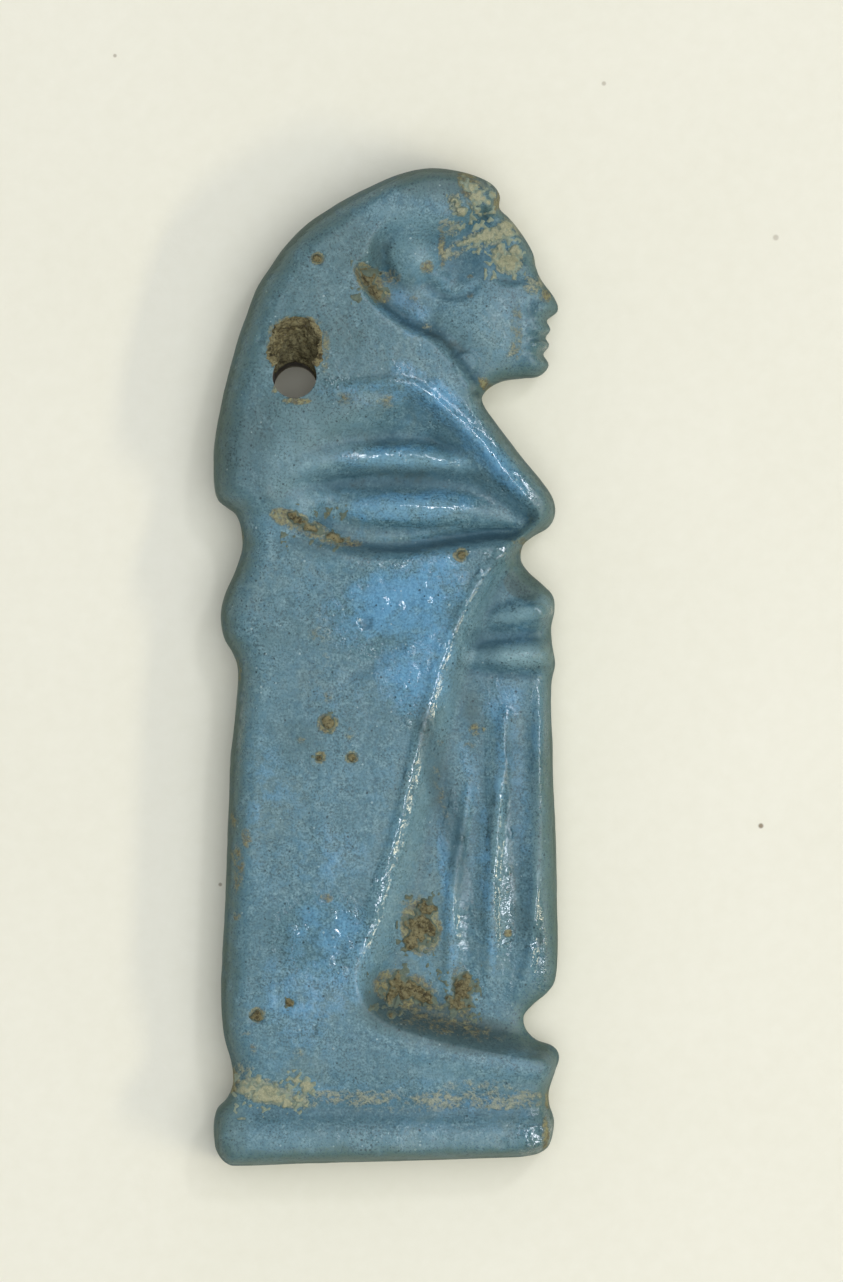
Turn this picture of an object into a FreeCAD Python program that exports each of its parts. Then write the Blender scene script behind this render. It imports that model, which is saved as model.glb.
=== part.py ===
# Suspension amulet of moulded and glazed quartz paste: a wrapped standing figure in profile
# on a plinth, in low relief. It lies on its flat back, the crown towards +Y, the face
# towards +X, and the relief towards +Z. Millimetres.
import FreeCAD, Part
import math
import os

from FreeCAD import Placement, Rotation, Vector

doc = FreeCAD.newDocument("amulet")

# Driving sizes
SIZES = [
    ("figure_width", 13.8),
    ("figure_height", 39.92),
    ("body_thickness", 4.0),
    ("body_crown", 0.45),
    ("edge_thickness", 2.2),
    ("rear_roll", 1.1),
    ("front_roll", 0.6),
    ("plinth_roll", 0.55),
    ("wig_rise", 0.3),
    ("face_depth", 1.0),
    ("brow_rise", 0.55),
    ("chest_depth", 0.85),
    ("linen_depth", 0.85),
    ("hem_drop", 0.6),
    ("groove_depth", 0.55),
    ("ridge_height", 0.5),
    ("glaze_thickness", 0.25),
    ("bore_radius", 0.87),
    ("bore_tilt", 5.5),
    ("mouth_radius", 1.35),
    ("mouth_floor_radius", 0.77),
    ("mouth_floor_height", 1.9),
    ("mouth_tilt", 33.0),
    ("mouth_earth_thickness", 0.2),
    ("earth_height", 0.3),
    ("crust_height", 0.17),
    ("flake_sink", 0.5),
    ("pit_depth", 0.18),
    ("fill_rise", 0.06),
    ("curve_step", 0.3),
    ("overrun", 2.0),
]

sheet = doc.addObject("Spreadsheet::Sheet", "Sizes")
for row, (alias, value) in enumerate(SIZES, start=1):
    sheet.set(f"A{row}", alias)
    sheet.set(f"B{row}", str(value))
    sheet.setAlias(f"B{row}", alias)
doc.recompute()


def size(alias):
    return float(sheet.get(alias))


# The figure in the photograph, whose pixels the tables below are written in
PHOTO_LEFT_PX = 214
PHOTO_FOOT_PX = 1166
PHOTO_WIDTH_PX = 345
PHOTO_HEIGHT_PX = 998

# How many cells the relief has across and along the figure, how many more on each side, and
# how many bands its surface is divided into along the figure
ACROSS_COUNT = 69
ALONG_COUNT = 200
MARGIN_COUNT = 4
BAND_COUNT = 10

# Directions, to +X and to +Y, in which the four corners of the outline lie
LOW_REAR_SHARES = (-1, -1)
LOW_FRONT_SHARES = (1, -1)
HIGH_REAR_SHARES = (-0.49, 1)
HIGH_FRONT_SHARES = (1.2, 1)

# Place of the body's highest line across the figure, from its rear edge, and where the rear
# edge's rounding passes over into the front edge's
CROWN_SHARE = 0.6
ROLL_START_SHARE = 0.3
ROLL_SPAN_SHARE = 0.4

# Limit to how much deeper a steep stretch of the core lies, and how near its full depth a
# point of the core's outline has to be
STEEPEST_SHARE = 2.4
CLEAR_SHARE = 0.98

# Silhouette: crown, back of the wig, body, plinth, hands, lappet, face
OUTLINE_PX = [
    (430, 168), (398, 174.5), (365, 189), (334, 206), (308, 223), (288, 243), (271, 266),
    (256, 290), (246, 318), (237, 343), (228, 375), (220, 410), (214.5, 447), (214, 480),
    (218, 498), (227, 506.5), (236, 514), (241, 529), (242, 549), (235, 572), (225.5, 594),
    (221.5, 617), (225, 639), (234, 654), (239, 670), (237, 700), (233, 735), (230, 775),
    (228, 830), (226, 880), (223, 950), (221, 1000), (224, 1036), (231, 1062), (233, 1083),
    (227, 1099), (217, 1110), (214, 1128), (216, 1150), (227, 1164), (245, 1166),
    (310, 1163.5), (390, 1161.5), (470, 1159), (525, 1156.5), (545, 1150), (552, 1138),
    (554, 1120), (549.5, 1105), (549, 1090), (555, 1072), (559, 1057), (553, 1047), (537, 1041),
    (526, 1030), (524, 1016), (534, 1004), (548, 992), (556, 976), (557.5, 930), (555.5, 850),
    (553, 770), (551, 700), (551.5, 680), (555, 664), (552, 645), (551, 628), (554.5, 611),
    (553, 596), (542, 584), (527, 571), (520, 559), (522, 545), (534, 535), (548, 527),
    (555, 514), (552, 497), (538, 477), (515, 449), (495, 422), (482, 401), (487, 389),
    (503, 380), (522, 377.5), (539, 375), (548, 365), (543, 354), (549, 345), (545.5, 337.5),
    (550.5, 329), (547, 320), (558, 310), (554, 297), (542, 281), (536, 268), (533, 253),
    (522, 234), (509, 218), (499, 208), (499, 194), (489, 182), (463, 172),
]

# Borders of raised and sunk fields: place, width of the slope, and the share of the slope's
# crest that is rounded
WIG_PX_SHARES = [
    (180, 506, 14, 1), (225, 508, 14, 1), (250, 514, 18, 1), (280, 514, 30, 1), (330, 480, 60, 1),
    (400, 460, 60, 1), (480, 450, 60, 1), (560, 530, 14, 1), (620, 520, 14, 1), (620, 120, 14, 1),
    (180, 120, 14, 1),
]
FACE_PX_SHARES = [
    (503, 209, 12, 1), (482, 205, 18, 1), (462, 211, 24, 1), (440, 217, 32, 1), (415, 217, 38, 1),
    (390, 223, 42, 1), (371, 237, 42, 1), (360, 256, 36, 1), (354, 273, 16, 0.3),
    (366, 291, 14, 0), (380, 308, 15, 0), (401, 326, 15, 0), (424, 337, 15, 0), (441, 346, 14, 0),
    (455, 365, 14, 0), (468, 383, 12, 0), (483, 400, 10, 0), (600, 400, 10, 0), (600, 209, 10, 0),
]
CHEST_PX_SHARES = [
    (294, 508, 50, 1), (284, 480, 84, 1), (294, 446, 100, 1), (320, 414, 100, 1), (356, 393, 70, 1),
    (400, 386, 40, 0.9), (430, 398, 32, 0.8), (462, 428, 30, 0.7), (500, 470, 28, 0.6),
    (526, 498, 22, 0.5), (539, 516, 14, 0.4), (530, 531, 10, 0.4), (515, 540, 11, 0.3),
    (490, 542, 13, 0.3), (450, 547, 14, 0.3), (400, 554, 15, 0.3), (350, 549, 15, 0.4),
    (322, 538, 18, 0.7), (304, 525, 30, 1),
]
LINEN_PX_SHARES = [
    (524, 546, 12, 0.3), (505, 554, 16, 0.8), (489, 571, 20, 0.9), (476, 591, 22, 0.9),
    (463, 616, 25, 0.9), (452, 642, 28, 0.9), (443, 668, 29, 0.9), (434, 696, 31, 0.9),
    (421, 742, 31, 0.9), (410, 790, 33, 0.9), (398, 836, 33, 0.9), (385, 876, 37, 0.9),
    (373, 916, 41, 0.9), (361, 948, 42, 0.8), (356, 975, 34, 0.6), (363, 1000, 26, 0.5),
    (380, 1018, 26, 0.5), (407, 1031, 27, 0.6), (442, 1041, 27, 0.6), (480, 1049, 26, 0.6),
    (515, 1055, 24, 0.5), (540, 1058, 18, 0.4), (600, 1058, 18, 0.4), (600, 546, 12, 0.3),
]

# Where the face rises towards the brow, where the linen drops towards its hem, and where the
# edge's rounding passes over into the plinth's
BROW_LOW_PX = 300
BROW_HIGH_PX = 210
CHEEK_REAR_PX = 440
CHEEK_FRONT_PX = 530
HEM_START_PX = 880
HEM_END_PX = 1020
PLINTH_START_PX = 1070
PLINTH_END_PX = 1115

# Groove over the plinth: height in the photograph and share of the groove's depth
GROOVE_PX_SHARES = [
    (1054, 0), (1072, 0.12), (1088, 0.42), (1100, 0.78), (1108, 0.95), (1115, 0.74), (1122, 0.36),
    (1130, 0.1), (1138, 0),
]

# Round forms of the head: place, half length, half width, share of the ridge height, turn
HEAD_PX_SHARES = [
    (415, 257, 31, 30, 1.15, 0),
    (441, 279, 13, 8, 0.3, -10),
    (460, 262, 24, 24, -0.3, 0),
    (494, 322, 62, 56, 0.8, 0),
    (517, 236, 40, 26, 0.4, -45),
    (511, 272, 28, 17, -0.55, 0),
    (511, 272, 19, 9, 0.5, -3),
    (543, 311, 16, 12, 0.4, -20),
    (541, 329, 15, 9, 0.3, 0),
    (540, 346, 15, 9, 0.3, 0),
    (535, 364, 18, 13, 0.4, 0),
]

# Ridges, folds and creases: place, half width, share of the ridge height
STROKES_PX_SHARES = {
    "chest fold, upper": [
        (315, 420, 16, 0), (350, 412, 22, 0.26), (395, 412, 22, 0.36), (430, 424, 18, 0.2),
        (455, 440, 12, 0)],
    "chest fold, middle": [
        (272, 484, 14, 0), (315, 467, 19, 0.6), (360, 459, 20, 0.95), (400, 458, 21, 1.1),
        (440, 461, 20, 0.95), (478, 472, 17, 0.5), (505, 487, 13, 0)],
    "chest fold, lower": [
        (285, 503, 14, 0), (330, 505, 19, 0.55), (375, 508, 23, 1.1), (415, 509, 24, 1.25),
        (455, 510, 22, 1.0), (485, 513, 16, 0.45), (512, 517, 13, 0)],
    "valley between the folds": [
        (300, 482, 13, 0), (340, 480, 17, -0.2), (400, 479, 18, -0.28), (455, 482, 16, -0.2),
        (490, 490, 11, 0)],
    "valley over the folds": [
        (320, 440, 12, 0), (360, 436, 14, -0.2), (410, 436, 14, -0.24), (450, 448, 12, -0.18),
        (485, 468, 9, 0)],
    "chest crease": [
        (282, 520, 8, 0), (310, 534, 10, -0.35), (350, 546, 11, -0.6), (400, 549, 12, -0.7),
        (450, 541, 12, -0.85), (490, 535, 13, -0.9), (512, 534, 12, -0.7), (526, 537, 8, 0)],
    "lip of the chest": [
        (352, 518, 5, 0), (380, 520, 6, 0.1), (418, 522, 6, 0.12), (455, 522, 6, 0.1),
        (486, 520, 5, 0)],
    "body under the chest": [
        (300, 540, 14, 0), (350, 564, 18, 0.16), (400, 569, 18, 0.2), (450, 561, 17, 0.22),
        (495, 555, 14, 0.16), (515, 553, 9, 0)],
    "upper fist": [
        (486, 622, 12, 0), (508, 617, 18, 0.7), (532, 613, 21, 1.1), (575, 609, 22, 1.2)],
    "lower fist": [
        (462, 660, 12, 0), (488, 658, 18, 0.75), (520, 656, 20, 1.1), (575, 656, 20, 1.1)],
    "valley between the fists": [
        (462, 642, 12, 0), (485, 638, 17, -0.42), (510, 634, 17, -0.36), (535, 632, 14, -0.2),
        (552, 632, 9, 0)],
    "cut under the fists": [
        (450, 667, 5, 0), (480, 670, 7, -0.18), (515, 674, 7, -0.14), (545, 678, 6, -0.1),
        (552, 680, 5, 0)],
    "middle linen fold": [
        (508, 704, 6, 0), (506, 714, 9, 0.26), (503, 739, 10, 0.3), (504, 764, 10, 0.3),
        (500, 790, 10, 0.34), (496, 830, 10, 0.34), (494, 860, 10, 0.34), (491, 900, 10, 0.34),
        (491, 940, 10, 0.28), (488, 966, 8, 0.18), (487, 990, 6, 0)],
    "inner linen fold": [
        (471, 776, 5, 0), (467, 800, 8, 0.24), (463, 828, 9, 0.3), (456, 864, 9, 0.3),
        (452, 900, 9, 0.28), (450, 936, 8, 0.26), (448, 980, 7, 0.16), (447, 1002, 5, 0)],
    "outer linen fold": [
        (539, 688, 6, 0), (540, 720, 9, 0.26), (538, 754, 9, 0.26), (539, 820, 9, 0.16),
        (536, 887, 9, 0.26), (534, 915, 9, 0.26), (529, 965, 9, 0.26), (520, 988, 8, 0.2),
        (512, 1000, 6, 0)],
    "valley beside the middle fold": [
        (524, 712, 10, 0), (521, 790, 15, -0.14), (516, 880, 15, -0.16), (511, 960, 14, -0.1),
        (508, 990, 9, 0)],
    "valley behind the middle fold": [
        (490, 720, 10, 0), (483, 780, 15, -0.14), (475, 850, 15, -0.16), (471, 920, 15, -0.14),
        (468, 985, 9, 0)],
    "swell of the middle fold": [
        (507, 700, 14, 0), (503, 760, 24, 0.14), (497, 830, 26, 0.18), (492, 900, 26, 0.18),
        (489, 950, 22, 0.12), (487, 998, 14, 0)],
    "swell of the inner fold": [
        (470, 765, 14, 0), (462, 830, 22, 0.1), (454, 900, 22, 0.12), (450, 960, 20, 0.1),
        (447, 1006, 14, 0)],
    "swell of the outer fold": [
        (537, 684, 12, 0), (541, 720, 20, 0.12), (541, 800, 22, 0.14), (538, 900, 22, 0.14),
        (528, 968, 18, 0.12), (514, 1000, 12, 0)],
    "elbow fold": [
        (330, 694, 9, 0), (356, 674, 14, -0.24), (385, 655, 14, -0.24), (412, 638, 10, 0)],
    "edge of the linen": [
        (508, 549, 6, 0), (486, 569, 8, 0.12), (472, 590, 8, 0.14), (459, 615, 8, 0.14),
        (447, 643, 8, 0.14), (438, 668, 8, 0.14), (429, 697, 8, 0.14), (417, 742, 8, 0.14),
        (405, 790, 8, 0.14), (393, 836, 8, 0.12), (380, 876, 8, 0.1), (359, 940, 8, 0)],
    "edge of the lappet": [
        (318, 400, 9, 0), (350, 390, 10, 0.2), (385, 384, 11, 0.26), (416, 389, 11, 0.32),
        (447, 414, 11, 0.34), (482, 446, 11, 0.34), (508, 478, 11, 0.3), (528, 503, 10, 0.18),
        (541, 517, 7, 0)],
    "feet": [
        (395, 1046, 12, 0), (440, 1057, 16, 0.22), (500, 1066, 16, 0.34), (560, 1072, 15, 0.34)],
    "groove behind the ear": [
        (440, 223, 8, 0), (418, 220, 10, -0.16), (397, 226, 12, -0.28), (384, 240, 13, -0.46),
        (380, 257, 13, -0.56), (387, 275, 12, -0.46), (401, 288, 9, -0.22), (413, 292, 7, 0)],
    "hollow of the ear": [
        (423, 277, 6, 0), (430, 288, 7, -0.22), (442, 295, 7, -0.28), (458, 297, 7, -0.26),
        (472, 291, 7, -0.2), (480, 279, 6, 0)],
    "crease beside the face": [
        (357, 272, 6, 0), (368, 290, 8, -0.45), (385, 307, 9, -0.7), (410, 325, 10, -0.68),
        (434, 336, 9, -0.56), (450, 352, 9, -0.44), (466, 374, 8, -0.3), (480, 394, 6, 0)],
    "brow": [
        (486, 262, 8, 0), (502, 255, 10, 0.26), (520, 254, 10, 0.28), (536, 258, 8, 0.12)],
    "mouth": [
        (524, 340, 6, 0), (534, 338.5, 7, -0.28), (548, 337.5, 7, -0.32)],
    "wing of the nose": [
        (534, 300, 7, 0), (530, 310, 8, -0.24), (534, 320, 7, 0)],
    "jaw": [
        (450, 350, 12, 0), (470, 372, 16, 0.12), (500, 376, 13, 0.1), (525, 374, 9, 0)],
}

# Suspension hole: where its axis leaves the back and where its worn mouth ends inside it
BORE_BACK_PX = (295, 387)
MOUTH_FLOOR_PX = (296, 385)

# Earth and lime left in the hollows, in flat-faced crumbs and flakes that overlap: place,
# radius, share of the height of earth or crust, turn
EARTH_PX_SHARES = {
    "sash_earth": [(420, 926, 14, 1, 10), (427, 909, 10, 0.7, 40), (414, 917, 9, 0.8, 25)],
    "hem_earth_rear": [(403, 987, 13, 0.9, 5), (415, 992, 12, 1, 30), (427, 999, 9, 0.6, 50)],
    "hem_earth_front": [(460, 989, 10, 0.7, 15), (462, 1003, 11, 0.8, 45)],
    "ear_crease_earth": [(367, 276, 8, 0.7, 0), (371, 286, 9, 0.8, 20), (378, 295, 7, 0.6, 50)],
    "neck_crumb": [(526, 552, 6, 0.8, 10)],
    "collar_earth": [
        (298, 520, 11, 0.4, 0), (309, 526, 13, 0.7, 25), (322, 533, 12, 0.45, 5),
        (334, 538, 11, 0.65, 35)],
}
CRUST_PX_SHARES = {
    "brow_lime_crust": [(508, 263, 12, 1, 0), (499, 254, 10, 0.8, 30), (513, 252, 8, 0.6, 10)],
    "wig_lime_crust": [(474, 238, 8, 0.7, 0), (486, 235, 10, 0.9, 20), (497, 229, 9, 0.8, 45)],
    "wig_front_nodule": [(461, 214, 8, 1.6, 15)],
    "wig_crown_crust": [(471, 191, 9, 0.6, 0), (476, 201, 11, 1, 20)],
    "base_lime_crust": [
        (248, 1089, 10, 0.9, 0), (264, 1091, 13, 1, 25), (280, 1098, 11, 1, 5),
        (294, 1103, 8, 0.7, 40)],
    "base_lime_crumb": [(306, 1086, 9, 0.9, 20)],
}
PITS_PX = {
    "pit_earth_wig": (318, 260, 5.5),
    "pit_earth_chest": (461, 555, 5.5),
    "pit_earth_side": (328, 723, 8),
    "pit_earth_side_rear": (320, 757, 5),
    "pit_earth_side_front": (352, 757, 5.5),
    "pit_earth_foot": (257, 1015, 7.5),
    "pit_earth_foot_small": (290, 1001, 5),
}

# Sides of a crumb, a flake or a pit's fill
FLAKE_SIDES = 7
FILL_SIDES = 9


def across(px):
    """Distance from the figure's middle to a column of the photograph."""
    return ((px - PHOTO_LEFT_PX) / PHOTO_WIDTH_PX - 1 / 2) * size("figure_width")


def along(py):
    """Distance from the figure's middle to a row of the photograph."""
    return ((PHOTO_FOOT_PX - py) / PHOTO_HEIGHT_PX - 1 / 2) * size("figure_height")


def length(px):
    """Size of a number of pixels."""
    return px / PHOTO_HEIGHT_PX * size("figure_height")


def curve_points(table, closed, step):
    """Points of a smooth curve through a table's places, with what the table gives there."""
    rows = []
    for row in table:
        width = [length(value) for value in row[2:3]]
        rows.append((across(row[0]), along(row[1]), *width, *row[3:]))
    count = len(rows)
    points = []
    for i in range(count if closed else count - 1):
        near = []
        for k in (-1, 0, 1, 2):
            near.append(rows[(i + k) % count] if closed else rows[min(max(i + k, 0), count - 1)])
        parts = max(1, round(math.dist(near[1][:2], near[2][:2]) / step))
        for part in range(parts):
            t = part / parts
            point = []
            for a, b, c, d in zip(*near):
                bend = 2 * a - 5 * b + 4 * c - d + t * (3 * (b - c) + d - a)
                point.append(b + t * (c - a + t * bend) / 2)
            points.append(tuple(point))
    if not closed:
        points.append(rows[-1])
    return points


def smooth_step(t):
    return t * t * (3 - 2 * t)


class Relief:
    """Heights over a grid of cells that covers the figure and a margin round it."""

    def __init__(self):
        self.dx = size("figure_width") / ACROSS_COUNT
        self.dy = size("figure_height") / ALONG_COUNT
        self.columns = ACROSS_COUNT + 2 * MARGIN_COUNT + 1
        self.rows = ALONG_COUNT + 2 * MARGIN_COUNT + 1
        self.left = -size("figure_width") / 2 - MARGIN_COUNT * self.dx
        self.low = -size("figure_height") / 2 - MARGIN_COUNT * self.dy
        self.z = [[0.0] * self.rows for _ in range(self.columns)]

    def x(self, i):
        return self.left + i * self.dx

    def y(self, j):
        return self.low + j * self.dy

    def span(self, x0, x1, y0, y1):
        """Columns and rows of the grid within a rectangle."""
        i0 = max(0, math.ceil((x0 - self.left) / self.dx))
        i1 = min(self.columns - 1, math.floor((x1 - self.left) / self.dx))
        j0 = max(0, math.ceil((y0 - self.low) / self.dy))
        j1 = min(self.rows - 1, math.floor((y1 - self.low) / self.dy))
        return range(i0, i1 + 1), range(j0, j1 + 1)

    def nearest(self, curve, closed, reach):
        """For each grid point within reach of a curve, its distance and the curve's values."""
        found = {}
        count = len(curve)
        for k in range(count if closed else count - 1):
            ax, ay = curve[k][:2]
            bx, by = curve[(k + 1) % count][:2]
            run = (bx - ax) ** 2 + (by - ay) ** 2
            wide, tall = self.span(min(ax, bx) - reach, max(ax, bx) + reach,
                                   min(ay, by) - reach, max(ay, by) + reach)
            for i in wide:
                x = self.x(i) - ax
                for j in tall:
                    y = self.y(j) - ay
                    t = (x * (bx - ax) + y * (by - ay)) / run if run else 0.0
                    t = min(1.0, max(0.0, t))
                    gap = (x - t * (bx - ax)) ** 2 + (y - t * (by - ay)) ** 2
                    if (i, j) not in found or gap < found[i, j][0]:
                        found[i, j] = (gap, k, t)
        values = {}
        for place, (gap, k, t) in found.items():
            pairs = zip(curve[k][2:], curve[(k + 1) % count][2:])
            values[place] = (math.sqrt(gap), [a + t * (b - a) for a, b in pairs])
        return values

    def inside(self, curve):
        """Grid points inside a closed curve."""
        held = set()
        for j in range(self.rows):
            y = self.y(j)
            cuts = []
            for a, b in zip(curve, curve[1:] + curve[:1]):
                if (a[1] > y) != (b[1] > y):
                    cuts.append(a[0] + (y - a[1]) / (b[1] - a[1]) * (b[0] - a[0]))
            cuts.sort()
            for start, end in zip(cuts[::2], cuts[1::2]):
                wide, _ = self.span(start, end, y, y)
                held.update((i, j) for i in wide)
        return held

    def field(self, table):
        """For each grid point inside a border, how far down or up the slope it is."""
        curve = curve_points(table, True, size("curve_step"))
        near = self.nearest(curve, True, max(point[2] for point in curve))
        shares = {}
        for place in self.inside(curve):
            if place not in near:
                shares[place] = 1.0
                continue
            gap, (slope, rounded) = near[place]
            t = min(1.0, gap / slope)
            crisp = 1 - (1 - t) ** 2
            shares[place] = crisp + rounded * (smooth_step(t) - crisp)
        return shares

    def height(self, x, y):
        """Height of the relief at a place, between its grid points."""
        u = (x - self.left) / self.dx
        v = (y - self.low) / self.dy
        i = int(u)
        j = int(v)
        u -= i
        v -= j
        near = self.z[i][j] * (1 - u) + self.z[i + 1][j] * u
        far = self.z[i][j + 1] * (1 - u) + self.z[i + 1][j + 1] * u
        return near * (1 - v) + far * v

    def slope(self, x, y):
        """Rise of the relief to +X and to +Y at a place."""
        right = (self.height(x + self.dx, y) - self.height(x - self.dx, y)) / (2 * self.dx)
        up = (self.height(x, y + self.dy) - self.height(x, y - self.dy)) / (2 * self.dy)
        return right, up

    def lowered(self, depth):
        """A relief that lies below this one by a depth measured square to its surface."""
        copy = Relief()
        for i in range(self.columns):
            for j in range(self.rows):
                left, right = max(i - 1, 0), min(i + 1, self.columns - 1)
                low, high = max(j - 1, 0), min(j + 1, self.rows - 1)
                rise_x = (self.z[right][j] - self.z[left][j]) / ((right - left) * self.dx)
                rise_y = (self.z[i][high] - self.z[i][low]) / ((high - low) * self.dy)
                steep = math.sqrt(1 + rise_x ** 2 + rise_y ** 2)
                copy.z[i][j] = self.z[i][j] - depth * min(steep, STEEPEST_SHARE)
        return copy


def lay_body(relief):
    """The body's gentle crown, with the wig raised on it."""
    middle = size("figure_width") * CROWN_SHARE
    for i in range(relief.columns):
        off = (relief.x(i) - middle + size("figure_width") / 2) / middle
        for j in range(relief.rows):
            relief.z[i][j] = size("body_thickness") - size("body_crown") * off ** 2
    for (i, j), share in relief.field(WIG_PX_SHARES).items():
        relief.z[i][j] += size("wig_rise") * share


def sink_fields(relief):
    """Hollows of the face, the chest and the linen, and the groove over the plinth."""
    brow_low, brow_high = along(BROW_LOW_PX), along(BROW_HIGH_PX)
    cheek_rear, cheek_front = across(CHEEK_REAR_PX), across(CHEEK_FRONT_PX)
    for (i, j), share in relief.field(FACE_PX_SHARES).items():
        up = min(1.0, max(0.0, (relief.y(j) - brow_low) / (brow_high - brow_low)))
        out = min(1.0, max(0.0, (relief.x(i) - cheek_rear) / (cheek_front - cheek_rear)))
        floor = size("body_thickness") - size("face_depth") + size("brow_rise") * up * out
        relief.z[i][j] += (floor - relief.z[i][j]) * share
    for (i, j), share in relief.field(CHEST_PX_SHARES).items():
        floor = size("body_thickness") - size("chest_depth")
        relief.z[i][j] += (floor - relief.z[i][j]) * share
    hem_start, hem_end = along(HEM_START_PX), along(HEM_END_PX)
    for (i, j), share in relief.field(LINEN_PX_SHARES).items():
        down = min(1.0, max(0.0, (hem_start - relief.y(j)) / (hem_start - hem_end)))
        floor = size("body_thickness") - size("linen_depth") - size("hem_drop") * smooth_step(down)
        relief.z[i][j] += (floor - relief.z[i][j]) * share
    for above, below in zip(GROOVE_PX_SHARES, GROOVE_PX_SHARES[1:]):
        top, foot = along(above[0]), along(below[0])
        _, tall = relief.span(0, 0, foot, top)
        for j in tall:
            t = (top - relief.y(j)) / (top - foot)
            depth = size("groove_depth") * (above[1] + (below[1] - above[1]) * t)
            for i in range(relief.columns):
                relief.z[i][j] -= depth


def model_head(relief):
    """The ear and the soft forms of the face."""
    for px, py, half_long, half_wide, share, turn in HEAD_PX_SHARES:
        x0, y0 = across(px), along(py)
        half_x, half_y = length(half_long), length(half_wide)
        reach = max(half_x, half_y)
        angle = math.radians(turn)
        wide, tall = relief.span(x0 - reach, x0 + reach, y0 - reach, y0 + reach)
        for i in wide:
            for j in tall:
                x = relief.x(i) - x0
                y = relief.y(j) - y0
                u = (x * math.cos(angle) + y * math.sin(angle)) / half_x
                v = (y * math.cos(angle) - x * math.sin(angle)) / half_y
                t = u * u + v * v
                if t < 1:
                    relief.z[i][j] += share * size("ridge_height") * (1 - t) ** 1.5


def draw_strokes(relief):
    """Ridges, folds and creases along their lines."""
    for table in STROKES_PX_SHARES.values():
        curve = curve_points(table, False, size("curve_step"))
        reach = max(point[2] for point in curve)
        for (i, j), (gap, (half, share)) in relief.nearest(curve, False, reach).items():
            if gap < half:
                relief.z[i][j] += share * size("ridge_height") * (1 - (gap / half) ** 2) ** 2


def round_edges(relief, outline):
    """Rounds the relief down to the edge all along the silhouette."""
    edge = size("edge_thickness")
    held = relief.inside(outline)
    near = relief.nearest(outline, True, max(size("rear_roll"), size("front_roll")))
    start, end = along(PLINTH_START_PX), along(PLINTH_END_PX)
    for i in range(relief.columns):
        place = (relief.x(i) / size("figure_width") + 1 / 2 - ROLL_START_SHARE) / ROLL_SPAN_SHARE
        turn = smooth_step(min(1.0, max(0.0, place)))
        roll = size("rear_roll") + (size("front_roll") - size("rear_roll")) * turn
        for j in range(relief.rows):
            if (i, j) not in held:
                relief.z[i][j] = edge
            elif (i, j) in near:
                low = smooth_step(min(1.0, max(0.0, (start - relief.y(j)) / (start - end))))
                own_roll = roll + (size("plinth_roll") - roll) * low
                t = min(1.0, near[i, j][0] / own_roll)
                relief.z[i][j] = edge + (relief.z[i][j] - edge) * math.sqrt(1 - (1 - t) ** 2)


def shrunk(outline, depth):
    """An outline that runs inside another at an even depth."""
    count = len(outline)
    moved = []
    for k in range(count):
        back, on = outline[k - 1], outline[(k + 1) % count]
        run = math.dist(back[:2], on[:2])
        inward = ((back[1] - on[1]) / run, (on[0] - back[0]) / run)
        moved.append((outline[k][0] + depth * inward[0], outline[k][1] + depth * inward[1]))
    kept = []
    for place in moved:
        gap = min(segment_gap(place, a, b) for a, b in zip(outline, outline[1:] + outline[:1]))
        if gap > depth * CLEAR_SHARE:
            kept.append(place)
    thinned = kept[:1]
    for place in kept:
        if math.dist(place, thinned[-1]) > size("curve_step"):
            thinned.append(place)
    if math.dist(thinned[0], thinned[-1]) < size("curve_step"):
        thinned.pop()
    return thinned


def segment_gap(place, a, b):
    """Distance from a place to the line between two others."""
    run = (b[0] - a[0]) ** 2 + (b[1] - a[1]) ** 2
    t = ((place[0] - a[0]) * (b[0] - a[0]) + (place[1] - a[1]) * (b[1] - a[1])) / run
    t = min(1.0, max(0.0, t))
    return math.dist(place[:2], (a[0] + t * (b[0] - a[0]), a[1] + t * (b[1] - a[1])))


def corner(outline, rightward, upward):
    """The place of an outline that lies furthest in a direction."""
    return max(outline, key=lambda place: place[0] * rightward + place[1] * upward)


def crossing(outline, axis, level, furthest):
    """Where an outline crosses a level of x (axis 0) or y (axis 1), at its far or near side."""
    found = []
    for a, b in zip(outline, outline[1:] + outline[:1]):
        if (a[axis] > level) != (b[axis] > level):
            t = (level - a[axis]) / (b[axis] - a[axis])
            found.append(a[1 - axis] + t * (b[1 - axis] - a[1 - axis]))
    return max(found) if furthest else min(found)


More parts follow.
